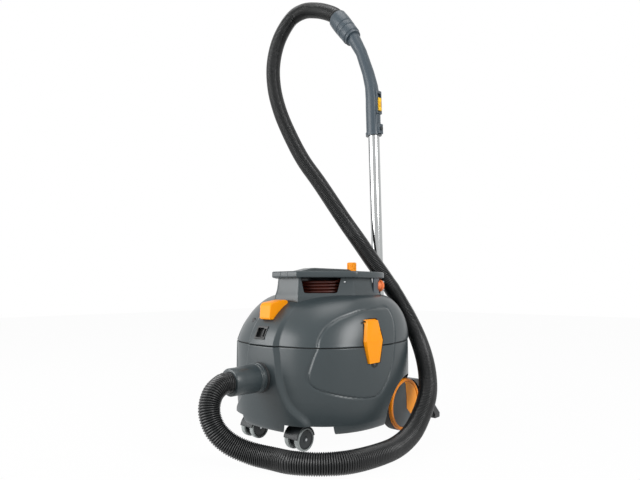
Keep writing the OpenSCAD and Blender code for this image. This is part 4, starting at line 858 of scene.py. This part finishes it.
# studio: white floor and world, an upright soft box either side of the camera and one above
studio = {"world": 0.16, "front": 62.0, "side": 46.0, "top": 10.0, "floorGlow": 0.97}
world = bpy.data.worlds.new("studio")
scene.world = world
world.use_nodes = True
tree = world.node_tree
tree.nodes.clear()
path = addNode(tree, "ShaderNodeLightPath")
seen = addNode(tree, "ShaderNodeMath", {"operation": "MAXIMUM"}, {0: path.outputs["Is Camera Ray"],
                                                                 1: path.outputs["Is Transmission Ray"]})
seen = addNode(tree, "ShaderNodeMath", {"operation": "MAXIMUM"}, {0: seen.outputs["Value"],
                                                                 1: path.outputs["Is Glossy Ray"]})
strength = addNode(tree, "ShaderNodeMapRange", inputs={
    "Value": seen.outputs["Value"], "To Min": studio["world"], "To Max": 1.0})
sky = addNode(tree, "ShaderNodeBackground", inputs={
    "Color": (1, 1, 1, 1), "Strength": strength.outputs["Result"]})
addNode(tree, "ShaderNodeOutputWorld", inputs={"Surface": sky.outputs["Background"]})

floorMaterial, tree = newMaterial("paleFloor")
path = addNode(tree, "ShaderNodeLightPath")
matt = addNode(tree, "ShaderNodeBsdfDiffuse", inputs={"Color": (0.9, 0.9, 0.9, 1)})
glow = addNode(tree, "ShaderNodeEmission", inputs={"Color": (1, 1, 1, 1), "Strength": 1.0})
seen = addNode(tree, "ShaderNodeMath", {"operation": "MAXIMUM"}, {0: path.outputs["Is Camera Ray"],
                                                                 1: path.outputs["Is Glossy Ray"]})
share = addNode(tree, "ShaderNodeMath", {"operation": "MULTIPLY"}, {0: seen.outputs["Value"],
                                                                   1: studio["floorGlow"]})
mix = addNode(tree, "ShaderNodeMixShader", inputs={0: share.outputs["Value"], 1: matt.outputs["BSDF"],
                                                   2: glow.outputs["Emission"]})
endMaterial(tree, mix.outputs["Shader"])
floor = meshObject("floor", np.array([(-6, -6, 0), (6, -6, 0), (6, 6, 0), (-6, 6, 0)]), [[0, 1, 2, 3]])
floor.data.materials.append(floorMaterial)


def softLight(name, origin, aim, size, power):
    lamp = bpy.data.lights.new(name, "AREA")
    lamp.shape = "RECTANGLE"
    lamp.size, lamp.size_y = size
    lamp.energy = power
    holder = bpy.data.objects.new(name, lamp)
    holder.location = origin
    holder.rotation_euler = (Vector(aim) - Vector(origin)).to_track_quat("-Z", "Y").to_euler()
    scene.collection.objects.link(holder)


softLight("front", (-1.13, -2.12, 1.0), (0, 0, 0.5), (2.0, 1.9), studio["front"])
softLight("side", (2.39, -0.17, 1.5), (0, 0, 0.4), (1.1, 1.5), studio["side"])
softLight("top", (0.1, -0.1, 2.6), (0, 0, 0.3), (1.1, 1.1), studio["top"])
scene.view_settings.view_transform = "Standard"
print("studio lit")
